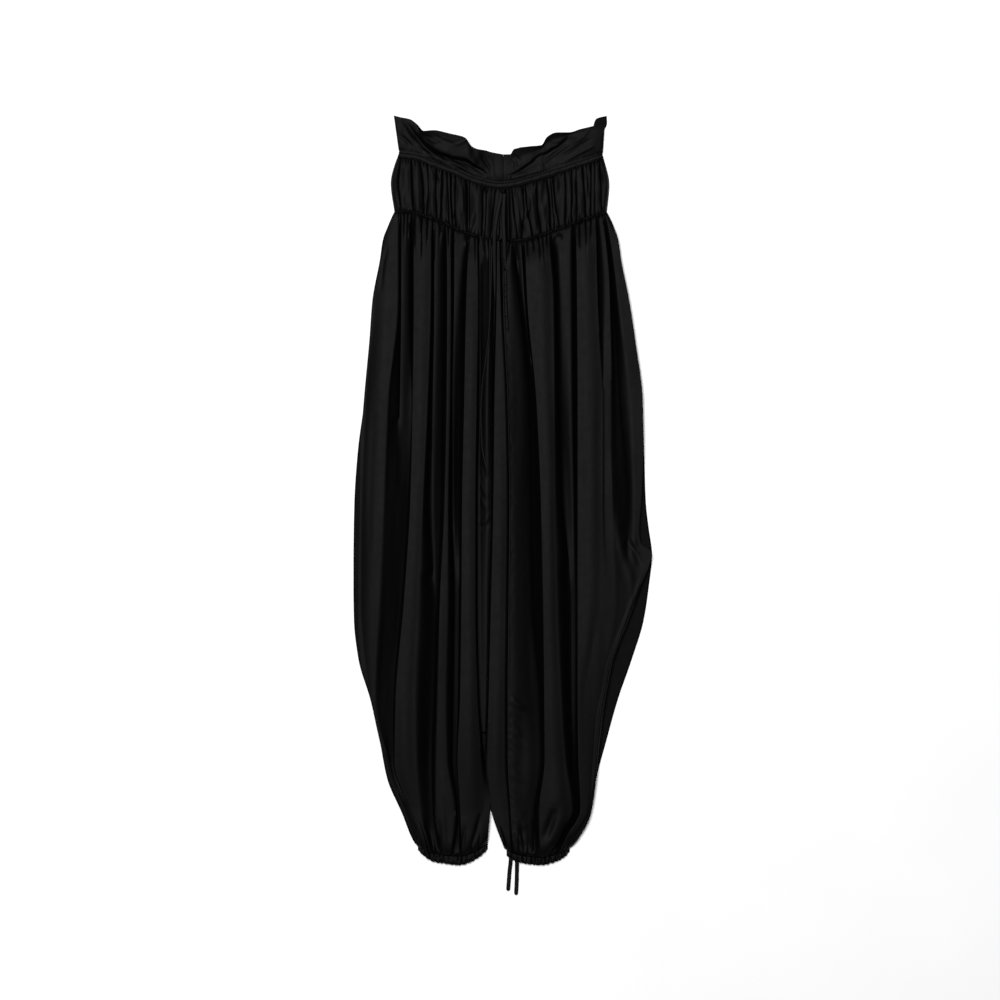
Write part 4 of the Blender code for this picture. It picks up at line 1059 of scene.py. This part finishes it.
# %% [markdown]
# ## The frill
#
# The frill is free at its top, so it flops about. Each row of its table is one line from the
# casing to the edge: a ridge, a groove, a flopping part and the edge itself, with the height of
# each. At the left a broad scallop has fallen forward over a deep shadow.

# %% Frill tables and points
Wave = namedtuple("Wave", "base edge_x edge_y ridge ridge_z groove groove_z flop_z edge_z")
FRILL_LEFT = [Wave(*row) for row in (
    (-148.7, -156.6, 539.6, 0.16, LAID, 0.60, LAID, LAID, LAID),
    (-148.3, -156.2, 539.5, 0.20, 3.9, 0.60, 5.4, 6.0, 6.5),
    (-142.2, -147.5, 537.0, 0.20, 4.0, 0.60, 6.8, 7.3, 7.6),
    (-132.1, -133.6, 533.9, 0.20, 4.2, 0.70, 8.4, 9.0, 9.0),
    (-120.6, -123.5, 526.7, 0.20, 4.2, 0.72, 6.0, 8.0, 9.0),
    (-107.6, -113.4, 516.6, 0.20, 4.2, 0.55, 2.6, 10.0, 14.0),
    (-93.2, -99.0, 517.2, 0.20, 4.2, 0.35, 2.6, 13.5, 17.0),
    (-73.1, -76.0, 512.3, 0.20, 4.2, 0.33, 2.6, 15.0, 18.5),
    (-51.5, -54.4, 506.5, 0.20, 4.2, 0.40, 2.6, 14.5, 17.0),
    (-37.1, -45.7, 495.0, 0.20, 4.2, 0.42, 2.6, 11.5, 13.0),
    (-28.4, -35.6, 490.7, 0.20, 3.9, 0.38, 2.8, 8.0, 10.5),
    (-19.8, -25.6, 489.2, 0.20, 3.9, 0.30, 4.6, 5.6, 9.0),
    (-12.6, -15.5, 486.4, 0.20, 3.9, 0.30, 4.8, 5.6, 8.0),
    (0.4, 0.4, 483.5, 0.20, 3.9, 0.30, 5.0, 5.6, 7.5),
    (0.7, 0.7, 483.5, 0.20, 3.9, 0.30, 5.0, 5.6, 7.5),
)]
FRILL_RIGHT = [Wave(*row) for row in (
    (0.9, 0.9, 483.5, 0.20, 3.9, 0.30, 5.0, 5.6, 7.5),
    (1.2, 1.2, 483.5, 0.20, 3.9, 0.30, 5.0, 5.6, 7.5),
    (10.4, 10.4, 483.5, 0.20, 3.9, 0.30, 4.4, 5.8, 8.0),
    (16.2, 16.2, 490.7, 0.20, 3.9, 0.28, 3.4, 6.0, 10.5),
    (26.3, 26.3, 492.8, 0.20, 4.2, 0.34, 2.6, 7.0, 11.0),
    (40.7, 40.7, 495.0, 0.20, 4.2, 0.49, 2.6, 7.5, 11.0),
    (55.1, 55.1, 496.4, 0.20, 4.2, 0.67, 3.4, 6.0, 9.0),
    (63.7, 63.7, 508.0, 0.20, 4.2, 0.56, 3.0, 8.5, 12.0),
    (76.7, 76.7, 514.4, 0.20, 4.2, 0.60, 3.4, 9.0, 12.5),
    (96.8, 96.8, 515.2, 0.20, 4.2, 0.80, 6.0, 7.5, 9.5),
    (111.2, 111.2, 519.5, 0.20, 4.2, 0.70, 7.5, 8.5, 9.5),
    (128.5, 128.5, 523.8, 0.20, 4.0, 0.60, 7.5, 8.0, 9.0),
    (137.2, 140.0, 526.7, 0.20, 4.2, 0.60, 6.6, 7.0, 7.5),
    (143.2, 146.1, 526.7, 0.20, 3.9, 0.60, 4.8, 5.2, 5.6),
    (143.6, 146.5, 526.7, 0.14, LAID, 0.60, LAID, LAID, LAID),
)]


FRILL_FOOT = 4.5       # the first millimetres lie flat below the casing
FLOP_WALL = 4.0        # past a groove the cloth stands up within this distance
FRILL_ROWS = 46
FRILL_COLUMN = 0.1     # of the way from one wave's line to the next


def frill_points(waves, seed):
    index = np.arange(len(waves))
    between = np.arange(1, len(waves) - 1.99, FRILL_COLUMN)
    fine = np.unique(np.concatenate(([0, len(waves) - 1], between)))
    base, edge_x, edge_y, ridge_at, ridge_z, groove_at, groove_z, flop_z, edge_z = (
        smooth_through(index, column, fine) for column in zip(*waves))
    base_y = along(CASING, base) + GAP / 2
    length = np.hypot(edge_x - base, edge_y - base_y)
    columns = []
    for i in range(len(fine)):
        level = float(casing_level(base[i]))
        flat, wall = FRILL_FOOT / length[i], FLOP_WALL / length[i]
        knots = (0, flat, ridge_at[i], groove_at[i], groove_at[i] + wall,
                 (groove_at[i] + 1 + wall) / 2, 1)
        heights = (level, level, ridge_z[i], groove_z[i],
                   groove_z[i] + 0.8 * (flop_z[i] - groove_z[i]), flop_z[i], edge_z[i])
        share = np.concatenate(([0, flat], np.linspace(flat, 1, FRILL_ROWS)[1:]))
        z = smooth_through(knots, heights, share)
        x = base[i] + (edge_x[i] - base[i]) * share
        y = base_y[i] + (edge_y[i] - base_y[i]) * share
        columns.append(np.stack((x, y, z), axis=1)[::-1])
    points = np.array(columns).transpose(1, 0, 2)
    x, y = points[..., 0], points[..., 1]
    away = y - along(CASING, x) - FRILL_FOOT
    inside = ease(np.minimum(x - x[:, :1], x[:, -1:] - x) / 4) * ease(away / 4)
    points[..., 2] += inside * (gathers(x, away, 5.0, 1.2, 12, seed)
                                + 0.5 * unevenness(x, y, 8, 12, seed + 1)
                                + 0.5 * unevenness(x, y, 20, 16, seed + 2))
    points[..., 2] = np.maximum(points[..., 2], LAID) + SETTLE
    return points


FRILL_CREASES = [Crease(*row) for row in (
    (3.2, 3.0, ((-141, 530), (-132, 518), (-120, 503), (-108, 491), (-96, 477))),
    (-1.6, 2.6, ((-150, 512), (-140, 505), (-130, 494))),
    (1.4, 2.4, ((-122, 498), (-100, 486), (-82, 472))),
    (-1.2, 2.2, ((-112, 497), (-92, 484), (-74, 474))),
    (1.2, 2.0, ((-84, 480), (-66, 470), (-52, 462))),
    (1.3, 2.0, ((52, 466), (74, 484), (98, 500))),
    (-1.3, 2.0, ((82, 480), (106, 494), (128, 506))),
    (1.2, 2.0, ((92, 476), (112, 486), (132, 496))),
    (-1.0, 1.8, ((-15, 478), (-14, 465), (-13, 452))),
    (0.9, 1.5, ((-78, 474), (-58, 464), (-40, 454))),
    (-0.9, 1.5, ((-62, 476), (-44, 466), (-28, 455))),
    (0.9, 1.5, ((-96, 476), (-78, 468), (-62, 462))),
    (-0.9, 1.6, ((-100, 512), (-88, 504), (-72, 498), (-58, 502))),
    (0.9, 1.6, ((-72, 496), (-58, 500), (-50, 505))),
    (0.9, 1.6, ((18, 462), (34, 470), (52, 478))),
    (-0.9, 1.6, ((84, 498), (92, 506), (98, 512))),
    (0.9, 1.6, ((104, 500), (116, 508), (124, 518))),
    (-0.8, 1.5, ((16, 484), (24, 476), (30, 474))),
    (-1.6, 2.6, ((-34, 488), (-27, 476), (-20, 466), (-15, 452))),
    (1.2, 2.0, ((14, 478), (19, 470), (16, 460))),
    (-0.9, 2.0, ((-140, 524), (-136, 512), (-126, 500))),
    (-0.9, 1.8, ((60, 506), (72, 498), (90, 500))),
    (1.0, 1.8, ((-112, 508), (-98, 500), (-84, 506))),
)]
for side_name, waves, seed in (("left", FRILL_LEFT, 81), ("right", FRILL_RIGHT, 91)):
    sheet_of_cloth(f"frill_cloth_{side_name}",
                   creased(frill_points(waves, seed), FRILL_CREASES),
                   f"frill_front_{side_name}", "gathered")
print("creases in the frill:", len(FRILL_CREASES))

# %% [markdown]
# ## The cuffs
#
# Each cuff is a narrow elastic that pulls the leg into tight small puckers.

# %% Cuff points
CUFF_GAP = 0.7
CUFF_TURNED = 10.0     # what is turned under round the elastic
CUFF_LEVEL = 7.2
CUFF_SWELL = 0.8       # the elastic's own thickness shows as a low arch
CUFF_PUCKERS = 5.6     # from one to the next
CUFF_COLUMNS, CUFF_ROWS = 190, 13
CUFF_HEIGHT = 12       # about how high a cuff is
RIGHT_CUFF_START = 6.4  # the right cuff starts beside the ridge, at this height
Cuff = namedtuple("Cuff", "side first_x last_x top end first_z seed")
CUFFS = (Cuff("left", -122.3, -22.0, CUFF_TOP_LEFT, CUFF_END_LEFT, LAID, 101),
         Cuff("right", 5.5, 96.3, CUFF_TOP_RIGHT, CUFF_END_RIGHT, RIGHT_CUFF_START, 111))


def cuff_points(cuff):
    x = np.linspace(cuff.first_x, cuff.last_x, CUFF_COLUMNS)
    upper, lower = along(cuff.top, x) - CUFF_GAP, along(cuff.end, x)
    from_left, from_right = ease((x - cuff.first_x) / 6), ease((cuff.last_x - x) / 6)
    grid = []
    for share in np.linspace(0, 1, CUFF_ROWS):
        down = x * 0 + share * CUFF_HEIGHT
        sideways = x + 1.6 * unevenness(x, down, 6, 5, cuff.seed + 2)
        z = (CUFF_LEVEL + np.sin(np.pi * share) * CUFF_SWELL
             + gathers(sideways, 0 * x, CUFF_PUCKERS, 2.0, 1, cuff.seed))
        z = z + 0.8 * unevenness(x, down, 3.4, 4, cuff.seed + 1)
        z = cuff.first_z + (z - cuff.first_z) * from_left
        z = LAID + (z - LAID) * from_right
        scallop = share * (1.1 * gathers(x, 0 * x, CUFF_PUCKERS, 1.0, 1, cuff.seed) + 0.5)
        y = upper + (lower - upper) * share - scallop
        grid.append(np.stack((x, y, z + SETTLE), axis=1))
    return np.array(grid)


for cuff in CUFFS:
    sheet_of_cloth(f"cuff_cloth_{cuff.side}", cuff_points(cuff), f"cuff_front_{cuff.side}",
                   "gathered", turned=CUFF_TURNED)
    print("cuff", cuff.side, round(cuff.last_x - cuff.first_x), "mm across")

# %% [markdown]
# ## The under layer
#
# The back of the garment lies pressed against the floor. It only shows as a narrow strip along
# the sides, and from below, but it's still cloth: nearly flat, with a few low creases.

# %% Points of the under layer
UNDER_WALL = 0.9
UNDER_LEVEL = 0.15     # its underside, along an edge
UNDER_LIFT = 0.28      # and how much higher it lies inside, on the average
UNDER_LOWEST = 0.1
LAP = 3.5              # the right under leg laps over the left one above the ankles
LAP_LEVEL = 1.12       # and lies on top of it


def under_points(left_x, right_x, y, columns, seed):
    """Rows of points between two lines. y is worked out for each row and place along it."""
    grid = []
    for row in range(len(left_x)):
        x = np.linspace(left_x[row], right_x[row], columns)
        here = y(row, x)
        edge = ease(np.minimum(x - x[0], x[-1] - x) / 6)
        z = UNDER_LEVEL + edge * (UNDER_LIFT + 0.26 * unevenness(x, here, 14, 90, seed)
                                  + 0.2 * unevenness(x, here, 40, 40, seed + 1))
        grid.append(np.stack((x, here, np.maximum(z, UNDER_LOWEST)), axis=1))
    return np.array(grid)


def under_leg(column, cuff, seed):
    rows = LEG_ROWS[::2]
    outer = side_edge(column, cuff)(rows)[0]
    inner = fold_x(UNDER_SEAM, rows)
    if "right" in column:
        below = np.where(rows > SPLIT, -np.inf, fold_x(RIDGE_LEFT, rows))
        inner = np.maximum(inner + legs_apart(rows), below)
        inner = inner - LAP * ease((rows - SPLIT) / PARTING)
    left, right = (outer, inner) if "left" in column else (inner, outer)
    points = under_points(left, right, lambda row, x: bent_row(rows[row], x, cuff), 90, seed)
    if "right" in column:
        beyond_lap = points[..., 0] - points[:, :1, 0] - LAP - 0.1
        points[..., 2] = np.maximum(points[..., 2], LAP_LEVEL * (1 - ease(beyond_lap / 5)))
    return points


def band(name, node, left, right, upper, lower, seed, rows, columns=160, turned=0.0):
    """A strip of the under layer. left and right say where it ends at shares of the way from its
    upper line to its lower one. Each of these lines comes with what is added to it."""
    shares = np.linspace(0, 1, rows)

    def y(row, x):
        (top, over), (bottom, under) = upper, lower
        start = along(top, x) + over
        return start + (along(bottom, x) + under - start) * shares[row]
    points = under_points(along(left, shares), along(right, shares), y, columns, seed)
    sheet_of_cloth(name, points, node, wall=UNDER_WALL, turned=turned)


def upright(x):
    return line_through((0, x), (1, x))


def edge_of(pleat):
    return line_through(*zip((0, 0.5, 1), pleat[:3]))


# %% Sheets of the under layer
FRILL_UNDER_TOP = line_through(
    (-157, 540.5), (-145, 537), (-132, 531), (-121, 514), (-99, 514), (-76, 509), (-53, 502),
    (-43, 488), (-24, 486), (-11, 481), (12, 481), (23, 494), (41, 496), (57, 498), (67, 507),
    (78, 512), (97, 512), (111, 517), (129, 521), (134, 535), (150, 540))
FRILL_UNDER_LEFT = line_through((0, -157), (1, -148.7))
FRILL_UNDER_RIGHT = line_through((0, 150), (0.2, 150.5), (0.45, 145), (1, 143.6))
HALF_CASING = CASING_WIDTH / 2
for side_name, cuff, seed in (("left", CUFF_TOP_LEFT, 121), ("right", CUFF_TOP_RIGHT, 131)):
    sheet_of_cloth(f"back_cloth_{side_name}", under_leg(f"under_{side_name}", cuff, seed),
                   f"leg_back_{side_name}", wall=UNDER_WALL)
band("casing_cloth_back", "casing_back", upright(-150.2), upright(144.0),
     (CASING, HALF_CASING), (CASING, -HALF_CASING), 141, rows=6, turned=CASING_TURNED)
for cuff, seed in zip(CUFFS, (151, 161)):
    band(f"cuff_cloth_back_{cuff.side}", f"cuff_back_{cuff.side}", upright(cuff.first_x),
         upright(cuff.last_x), (cuff.top, -CUFF_GAP), (cuff.end, 0), seed, rows=6, columns=80,
         turned=CUFF_TURNED)
band("yoke_cloth_back", "yoke_back", edge_of(YOKE_LEFT_EDGE), edge_of(YOKE_RIGHT_EDGE),
     (CASING, -HALF_CASING - GAP), (ELASTIC, -0.05), 171, rows=22)
band("frill_cloth_back", "frill_back", FRILL_UNDER_LEFT, FRILL_UNDER_RIGHT,
     (FRILL_UNDER_TOP, 0), (CASING, HALF_CASING + GAP), 181, rows=18)
print("sheets of cloth:", len(grids))

# %% [markdown]
# ## Hems, elastic and stitches
#
# The slit's two edges are narrow rolled hems. The left one is thin and lies on the gore. The
# right one is thicker and is twisted like a rope, because bias cloth rolls. To lay a hem or a
# stitch on the cloth, a ray is dropped from above and the trim goes where it lands.

# %% Dropping trim on the cloth
graph = bpy.context.evaluated_depsgraph_get()
sheets = {name: BVHTree.FromObject(piece, graph) for name, (piece, *_) in grids.items()}


RAY_START = 0.1        # well above the cloth, in metres
NO_CLOTH = 6.0         # the height where the ray meets none of the sheets
SINK = 0.3             # smoothing lets a path sink this far into the cloth


def top_of(names, x, y):
    """The height of the cloth at a place, in millimetres."""
    spots = [sheets[name].ray_cast((x * MM, y * MM, RAY_START), (0, 0, -1))[0] for name in names]
    return max((spot.z / MM for spot in spots if spot), default=NO_CLOTH)


def laid_path(route, step, names, lift):
    """A line on the page, laid on the named sheets."""
    route = np.array(route, float)
    flat = np.column_stack((route, np.zeros(len(route))))
    length = np.linalg.norm(np.diff(route, axis=0), axis=1).sum()
    path = path_through(flat, np.linspace(0, 1, max(4, int(length / step))))
    for point in path:
        point[2] = top_of(names, point[0], point[1]) + lift
    heights = path[:, 2].copy()
    for _ in range(3):
        heights[1:-1] = (heights[:-2] + heights[1:-1] + heights[2:]) / 3
    path[:, 2] = np.maximum(heights, path[:, 2] - SINK)
    return path


# %% The two hems of the slit
LEFT_HEM = ((-15.6, 352), (-17.6, 273), (-19.8, 230), (-25.6, 181), (-29.9, 148), (-31.5, 109),
            (-29.9, 64), (-22, 24), (-19.5, 12))
RIGHT_HEM = ((3.2, 336), (4.0, 300), (4.4, 273), (5.4, 250), (6.8, 228))
ROPE_STEP = 1.2        # between two points of the right hem
ROPE_TURN = 9          # one turn of its twist
left_hem_path = laid_path(LEFT_HEM, 3, ["gore_cloth_left", "leg_cloth_left"], 0.5)
left_hem = tube("slit_hem_left", left_hem_path,
                profile=cord_profile("hem_profile_left", 2.4 * MM, 1.5 * MM, 0.1))
right_hem_path = laid_path(RIGHT_HEM, ROPE_STEP, ["leg_cloth_right", "gore_cloth_right"], 0.6)
so_far = np.arange(len(right_hem_path)) * ROPE_STEP
right_hem_path[:, 2] += (0.35 * np.sin(so_far * 2 * np.pi / ROPE_TURN)
                         + 0.3 * unevenness(so_far, so_far * 0, 5, 5, 191))
right_hem = tube("slit_hem_right", right_hem_path,
                 profile=cord_profile("hem_profile_right", 5.0 * MM, 2.6 * MM, 0.15))
print("hems laid:", len(left_hem_path), "and", len(right_hem_path), "points")

# %% [markdown]
# The elastic under the yoke is a shirred line: the cloth is drawn up on a thread, so a narrow
# band of tiny hard puckers sits on the seam.

# %% The shirred line
SHIRRED = 2.8          # the width of the band
SHIRR_STEP = 0.7       # between two columns of points
SHIRR_PUCKERS = 4.2    # from one pucker to the next
WAIST_SHEETS = [f"{part}_cloth_{side_name}" for part in ("yoke", "leg", "gore")
                for side_name in ("left", "right")]


def shirred_band(first_x, last_x, seed):
    x = np.arange(first_x, last_x, SHIRR_STEP)
    middle = along(ELASTIC, x)
    height = averaged([max(top_of(WAIST_SHEETS, a, b + 1.6), top_of(WAIST_SHEETS, a, b - 1.6))
                       for a, b in zip(x, middle)], 9)
    rows = []
    for share in np.linspace(-1, 1, 9):
        pucker = gathers(x + 1.2 * share, 0 * x, SHIRR_PUCKERS, 1.0, 1, seed, breadth=0.45)
        arch = (1 - share**2) ** 0.5
        y = (middle - share * SHIRRED / 2
             + 0.25 * unevenness(x, x * 0 + share, 4, 1, seed + 1))
        rows.append(np.stack((x, y, height - 1.5 + (1.9 * pucker + 1.6) * arch), axis=1))
    return np.array(rows)


shirring = {}
for side_name, first_x, last_x, seed in (("left", -154.5, -17, 201), ("right", 11, 148, 211)):
    shirring[side_name] = sheet_of_cloth(f"shirring_{side_name}",
                                         shirred_band(first_x, last_x, seed))
    print("elastic", side_name, round(last_x - first_x), "mm shirred")


# %% [markdown]
# A stitch is a short bit of thread, sunk at both ends. One is modelled as a stretched low sphere,
# and each row of stitching is a single mesh of many.

# %% Rows of stitches
def stitches(name, path, length=2.2, pitch=3.1, thick=0.5):
    """One mesh with a stitch at each pitch along a path that lies on the cloth."""
    path = np.array(path, float)
    reach = np.concatenate(([0], np.cumsum(np.linalg.norm(np.diff(path, axis=0), axis=1))))
    shape = bmesh.new()
    for at in np.arange(pitch, reach[-1] - pitch, pitch):
        start, end = (np.array([np.interp(at + half, reach, path[:, axis]) for axis in range(3)])
                      for half in (-length / 2, length / 2))
        run = (end - start) / max(np.linalg.norm(end - start), 1e-6)
        aside = np.cross((0, 0, 1), run)
        up = np.cross(run, aside)
        made = bmesh.ops.create_uvsphere(shape, u_segments=8, v_segments=5, radius=0.5)
        middle = (start + end) / 2
        for vertex in made["verts"]:
            local = np.array(vertex.co)
            vertex.co = (middle + run * local[0] * length + aside * local[1] * thick
                         + up * local[2] * thick) * MM
    return garment_piece(name, mesh_from(shape, name))


def line_beside(line, first_x, last_x, offset):
    x = np.arange(first_x, last_x, 3.0)
    return np.column_stack((x, along(line, x) + offset))


STITCH_PATH = 1.5      # between two points of the path that stitches follow
STITCH_LINE = 3.75     # from the casing's middle to its stitches
SEAM_STITCHES = 1.3    # from the right inner seam
FRILL_CENTRE = ((-1.6, 446.5), (-1.6, 460), (-1.6, 472), (-1.6, 482))


def stitched(name, route, sheet, lift=0.1, **thread):
    return stitches(name, laid_path(route, STITCH_PATH, [sheet], lift), **thread)


beside_seam = np.column_stack((fold_x(RIGHT_INNER_SEAM, LEG_ROWS) + SEAM_STITCHES, LEG_ROWS))
casing_rows_of_thread = [
    stitched(f"casing_stitches_{edge}", line_beside(CASING, -148, 142, offset), "casing_cloth")
    for edge, offset in (("upper", STITCH_LINE), ("lower", -STITCH_LINE))]
frill_centre = stitched("frill_centre_stitches", FRILL_CENTRE, "frill_cloth_left")
hem_stitches = stitches("slit_hem_stitches", left_hem_path + (0, 0, 0.75), thick=0.35)
seam_stitches = stitched("inner_seam_stitches",
                         beside_seam[(LEG_ROWS < 6) & (LEG_ROWS > -505)], "leg_cloth_right",
                         lift=0.05, length=1.8, pitch=2.9, thick=0.35)
thread_rows = [*casing_rows_of_thread, frill_centre, hem_stitches, seam_stitches]
print("rows of stitches:", len(thread_rows))

# %% [markdown]
# ## Satin, cord and thread
#
# Black satin reflects very little, and all its character is in how the small reflection spreads:
# broad and soft, a little stronger along the long floats of the weave. Shader maths is easier to
# read as plain arithmetic, so a small class wraps a socket and gives it Python's own signs.

# %% Shader arithmetic
class Reading:
    """A number that changes over the cloth. Its arithmetic adds Math nodes."""

    def __init__(self, finish, socket):
        self.finish, self.socket = finish, socket

    def _math(self, operation, first, second):
        node = self.finish.node("ShaderNodeMath", {"operation": operation},
                                {0: first, 1: second})
        return Reading(self.finish, node.outputs[0])

    def __add__(self, other):
        return self._math("ADD", self, other)

    __radd__ = __add__

    def __sub__(self, other):
        return self._math("SUBTRACT", self, other)

    def __rsub__(self, other):
        return self._math("SUBTRACT", other, self)

    def __mul__(self, other):
        return self._math("MULTIPLY", self, other)

    __rmul__ = __mul__

    def __pow__(self, other):
        return self._math("POWER", self, other)


class Finish:
    """A material. Any node comes from node(): its type, its settings, then its inputs."""

    def __init__(self, name):
        self.material = bpy.data.materials.new(name)
        self.material.use_nodes = True
        self.tree = self.material.node_tree
        self.shader = self.tree.nodes["Principled BSDF"]

    def feed(self, value, socket):
        if isinstance(value, Reading):
            value = value.socket
        if isinstance(value, bpy.types.NodeSocket):
            self.tree.links.new(value, socket)
        else:
            socket.default_value = value

    def node(self, kind, settings=None, inputs=None):
        node = self.tree.nodes.new(kind)
        for setting, value in (settings or {}).items():
            setattr(node, setting, value)
        for key, value in (inputs or {}).items():
            self.feed(value, node.inputs[key])
        return node

    def reading(self, kind, settings=None, inputs=None, output=0):
        return Reading(self, self.node(kind, settings, inputs).outputs[output])

    def place(self, scale):
        """The place on the cloth in metres, stretched to the given scale."""
        here = self.node("ShaderNodeTexCoord").outputs["Object"]
        return self.node("ShaderNodeMapping", {}, {"Vector": here, "Scale": scale}).outputs[0]

    def noise(self, scale, size, detail=2.0):
        return self.reading("ShaderNodeTexNoise", {},
                            {"Vector": self.place(scale), "Scale": size, "Detail": detail})

    def blend_colour(self, share, first, second):
        node = self.node("ShaderNodeMix", {"data_type": "RGBA"},
                         {0: share, 6: (*first, 1.0), 7: (*second, 1.0)})
        return node.outputs[2]

    def bump(self, height, strength, distance):
        node = self.node("ShaderNodeBump", {}, {"Strength": strength, "Distance": distance,
                                                "Height": height})
        self.feed(node.outputs[0], self.shader.inputs["Normal"])

    def set(self, **values):
        for name, value in values.items():
            self.feed(value, self.shader.inputs[name.replace("_", " ")])


# %% The satin
BLACK = ((0.0003, 0.0003, 0.00035), (0.0008, 0.0008, 0.0009))     # its darkest and its lightest
CORD_BLACK = ((0.0012, 0.0012, 0.0013), (0.0024, 0.0024, 0.0026))
THREAD_BLACK = ((0.006, 0.006, 0.007), (0.014, 0.014, 0.015))
SHEEN = 0.071          # black satin reflects far less than a plain surface would
WEAVE_DEPTH = 0.0004   # in metres
WARP, WEFT = 420.0, 300.0


def satin(name, tones, roughness, weave):
    cloth = Finish(name)
    mottle = cloth.noise((1, 1, 1), 90.0, 4.0)
    streaks = cloth.noise((1, 0.12, 1), 260.0, 2.0)
    crumple = cloth.noise((1, 0.6, 1), 150.0, 3.0)
    warp, weft = (cloth.reading("ShaderNodeTexWave",
                                {"wave_type": "BANDS", "bands_direction": direction},
                                {"Vector": cloth.place((1, 1, 1)), "Scale": scale,
                                 "Distortion": 0.6})
                  for direction, scale in (("X", WARP), ("Y", WEFT)))
    tone = mottle * 0.6 + streaks * 0.4
    cloth.set(Base_Color=cloth.blend_colour(tone, *tones),
              Roughness=roughness + (tone - 0.5) * 0.16,
              Metallic=0.0, Specular_IOR_Level=SHEEN)
    cloth.bump(crumple * 0.8 + streaks * 0.25 + (warp * 0.6 + weft) * weave, 0.55, WEAVE_DEPTH)
    return cloth.material


black_satin = satin("black satin", BLACK, roughness=0.59, weave=0.10)
under_satin = satin("black satin across the grain", BLACK, roughness=0.74, weave=0.10)
cord_satin = satin("cord satin", CORD_BLACK, roughness=0.60, weave=0.06)
print("finishes:", [material.name for material in (black_satin, under_satin, cord_satin)])

# %% Thread, and what each piece is made of
thread = Finish("black thread")
ply = thread.reading("ShaderNodeTexWave", {"bands_direction": "DIAGONAL"},
                     {"Vector": thread.place((1, 1, 1)), "Scale": 900.0})
thread.set(Base_Color=thread.blend_colour(ply, *THREAD_BLACK),
           Roughness=0.5 + ply * 0.1, Specular_IOR_Level=0.3)
thread.bump(ply, 0.4, 0.0001)


def dress(pieces, material):
    for piece in pieces:
        piece.data.materials.clear()
        piece.data.materials.append(material)
    print(material.name, "on", len(pieces), "pieces")


dress([piece for name, (piece, *_) in grids.items() if "back" in name], under_satin)
dress([piece for name, (piece, *_) in grids.items() if "back" not in name], black_satin)
dress([left_hem, right_hem, *shirring.values()], black_satin)
dress([tails["left"][0], tails["right"][0], knot], cord_satin)
dress(thread_rows, thread.material)

# %% [markdown]
# ## Floor and light
#
# The floor is plain and pale. A large soft light hangs overhead, a little towards the waist, and
# an even pale surrounding fills the rest, so folds read by how much they turn away.

# %% Floor
FLOOR_SIZE = 20.0      # in metres, so wide that its edge is never in view
BELOW_CLOTH = 0.0002   # it lies this far under the cloth, so that the two never coincide
PALE = ((0.86, 0.86, 0.86), (0.9, 0.9, 0.9))
floor = in_scene("floor", bpy.data.meshes.new("floor"))
shape = bmesh.new()
bmesh.ops.create_grid(shape, x_segments=1, y_segments=1, size=FLOOR_SIZE)
shape.to_mesh(floor.data)
shape.free()
floor.location.z = -BELOW_CLOTH
paper = Finish("pale floor")
paper.set(Base_Color=paper.blend_colour(paper.noise((1, 1, 1), 6.0), *PALE),
          Roughness=0.9, Specular_IOR_Level=0.1)
dress([floor], paper.material)

# %% Lights
SURROUNDINGS = 0.04    # strength of the even light from all round


def soft_light(name, place, aim, size, power):
    lamp = bpy.data.lights.new(name, "AREA")
    lamp.shape = "DISK"
    lamp.size = size
    lamp.energy = power
    thing = in_scene(name, lamp)
    thing.location = place
    direction = thing.location - Vector(aim)
    thing.rotation_euler = direction.to_track_quat("Z", "Y").to_euler()


soft_light("overhead", place=(-0.7, 1.1, 5.6), aim=(0, 0, 0), size=2.2, power=420)
world = bpy.data.worlds.new("surroundings")
world.use_nodes = True
background = world.node_tree.nodes["Background"].inputs
background["Color"].default_value = (1, 1, 1, 1)
background["Strength"].default_value = SURROUNDINGS
bpy.context.scene.world = world
bpy.context.scene.view_settings.view_transform = "Standard"
print("one lamp, and surroundings of strength", SURROUNDINGS)

# %% [markdown]
# ## Cut sizes
#
# Last, the size that each sheet was cut to is worked out from its points, the cord's drawing shape
# is removed, and the faces of the cloth are counted.

# %% Cut sizes and faces
for name, (piece, points, held, turned) in grids.items():
    width, length, area = cut_size(points)
    length + turned * MM
bpy.data.objects.remove(rouleau)    # only the shape that the cords were drawn with
print("faces in the cloth:", sum(len(piece.data.polygons) for piece, *_ in grids.values()))
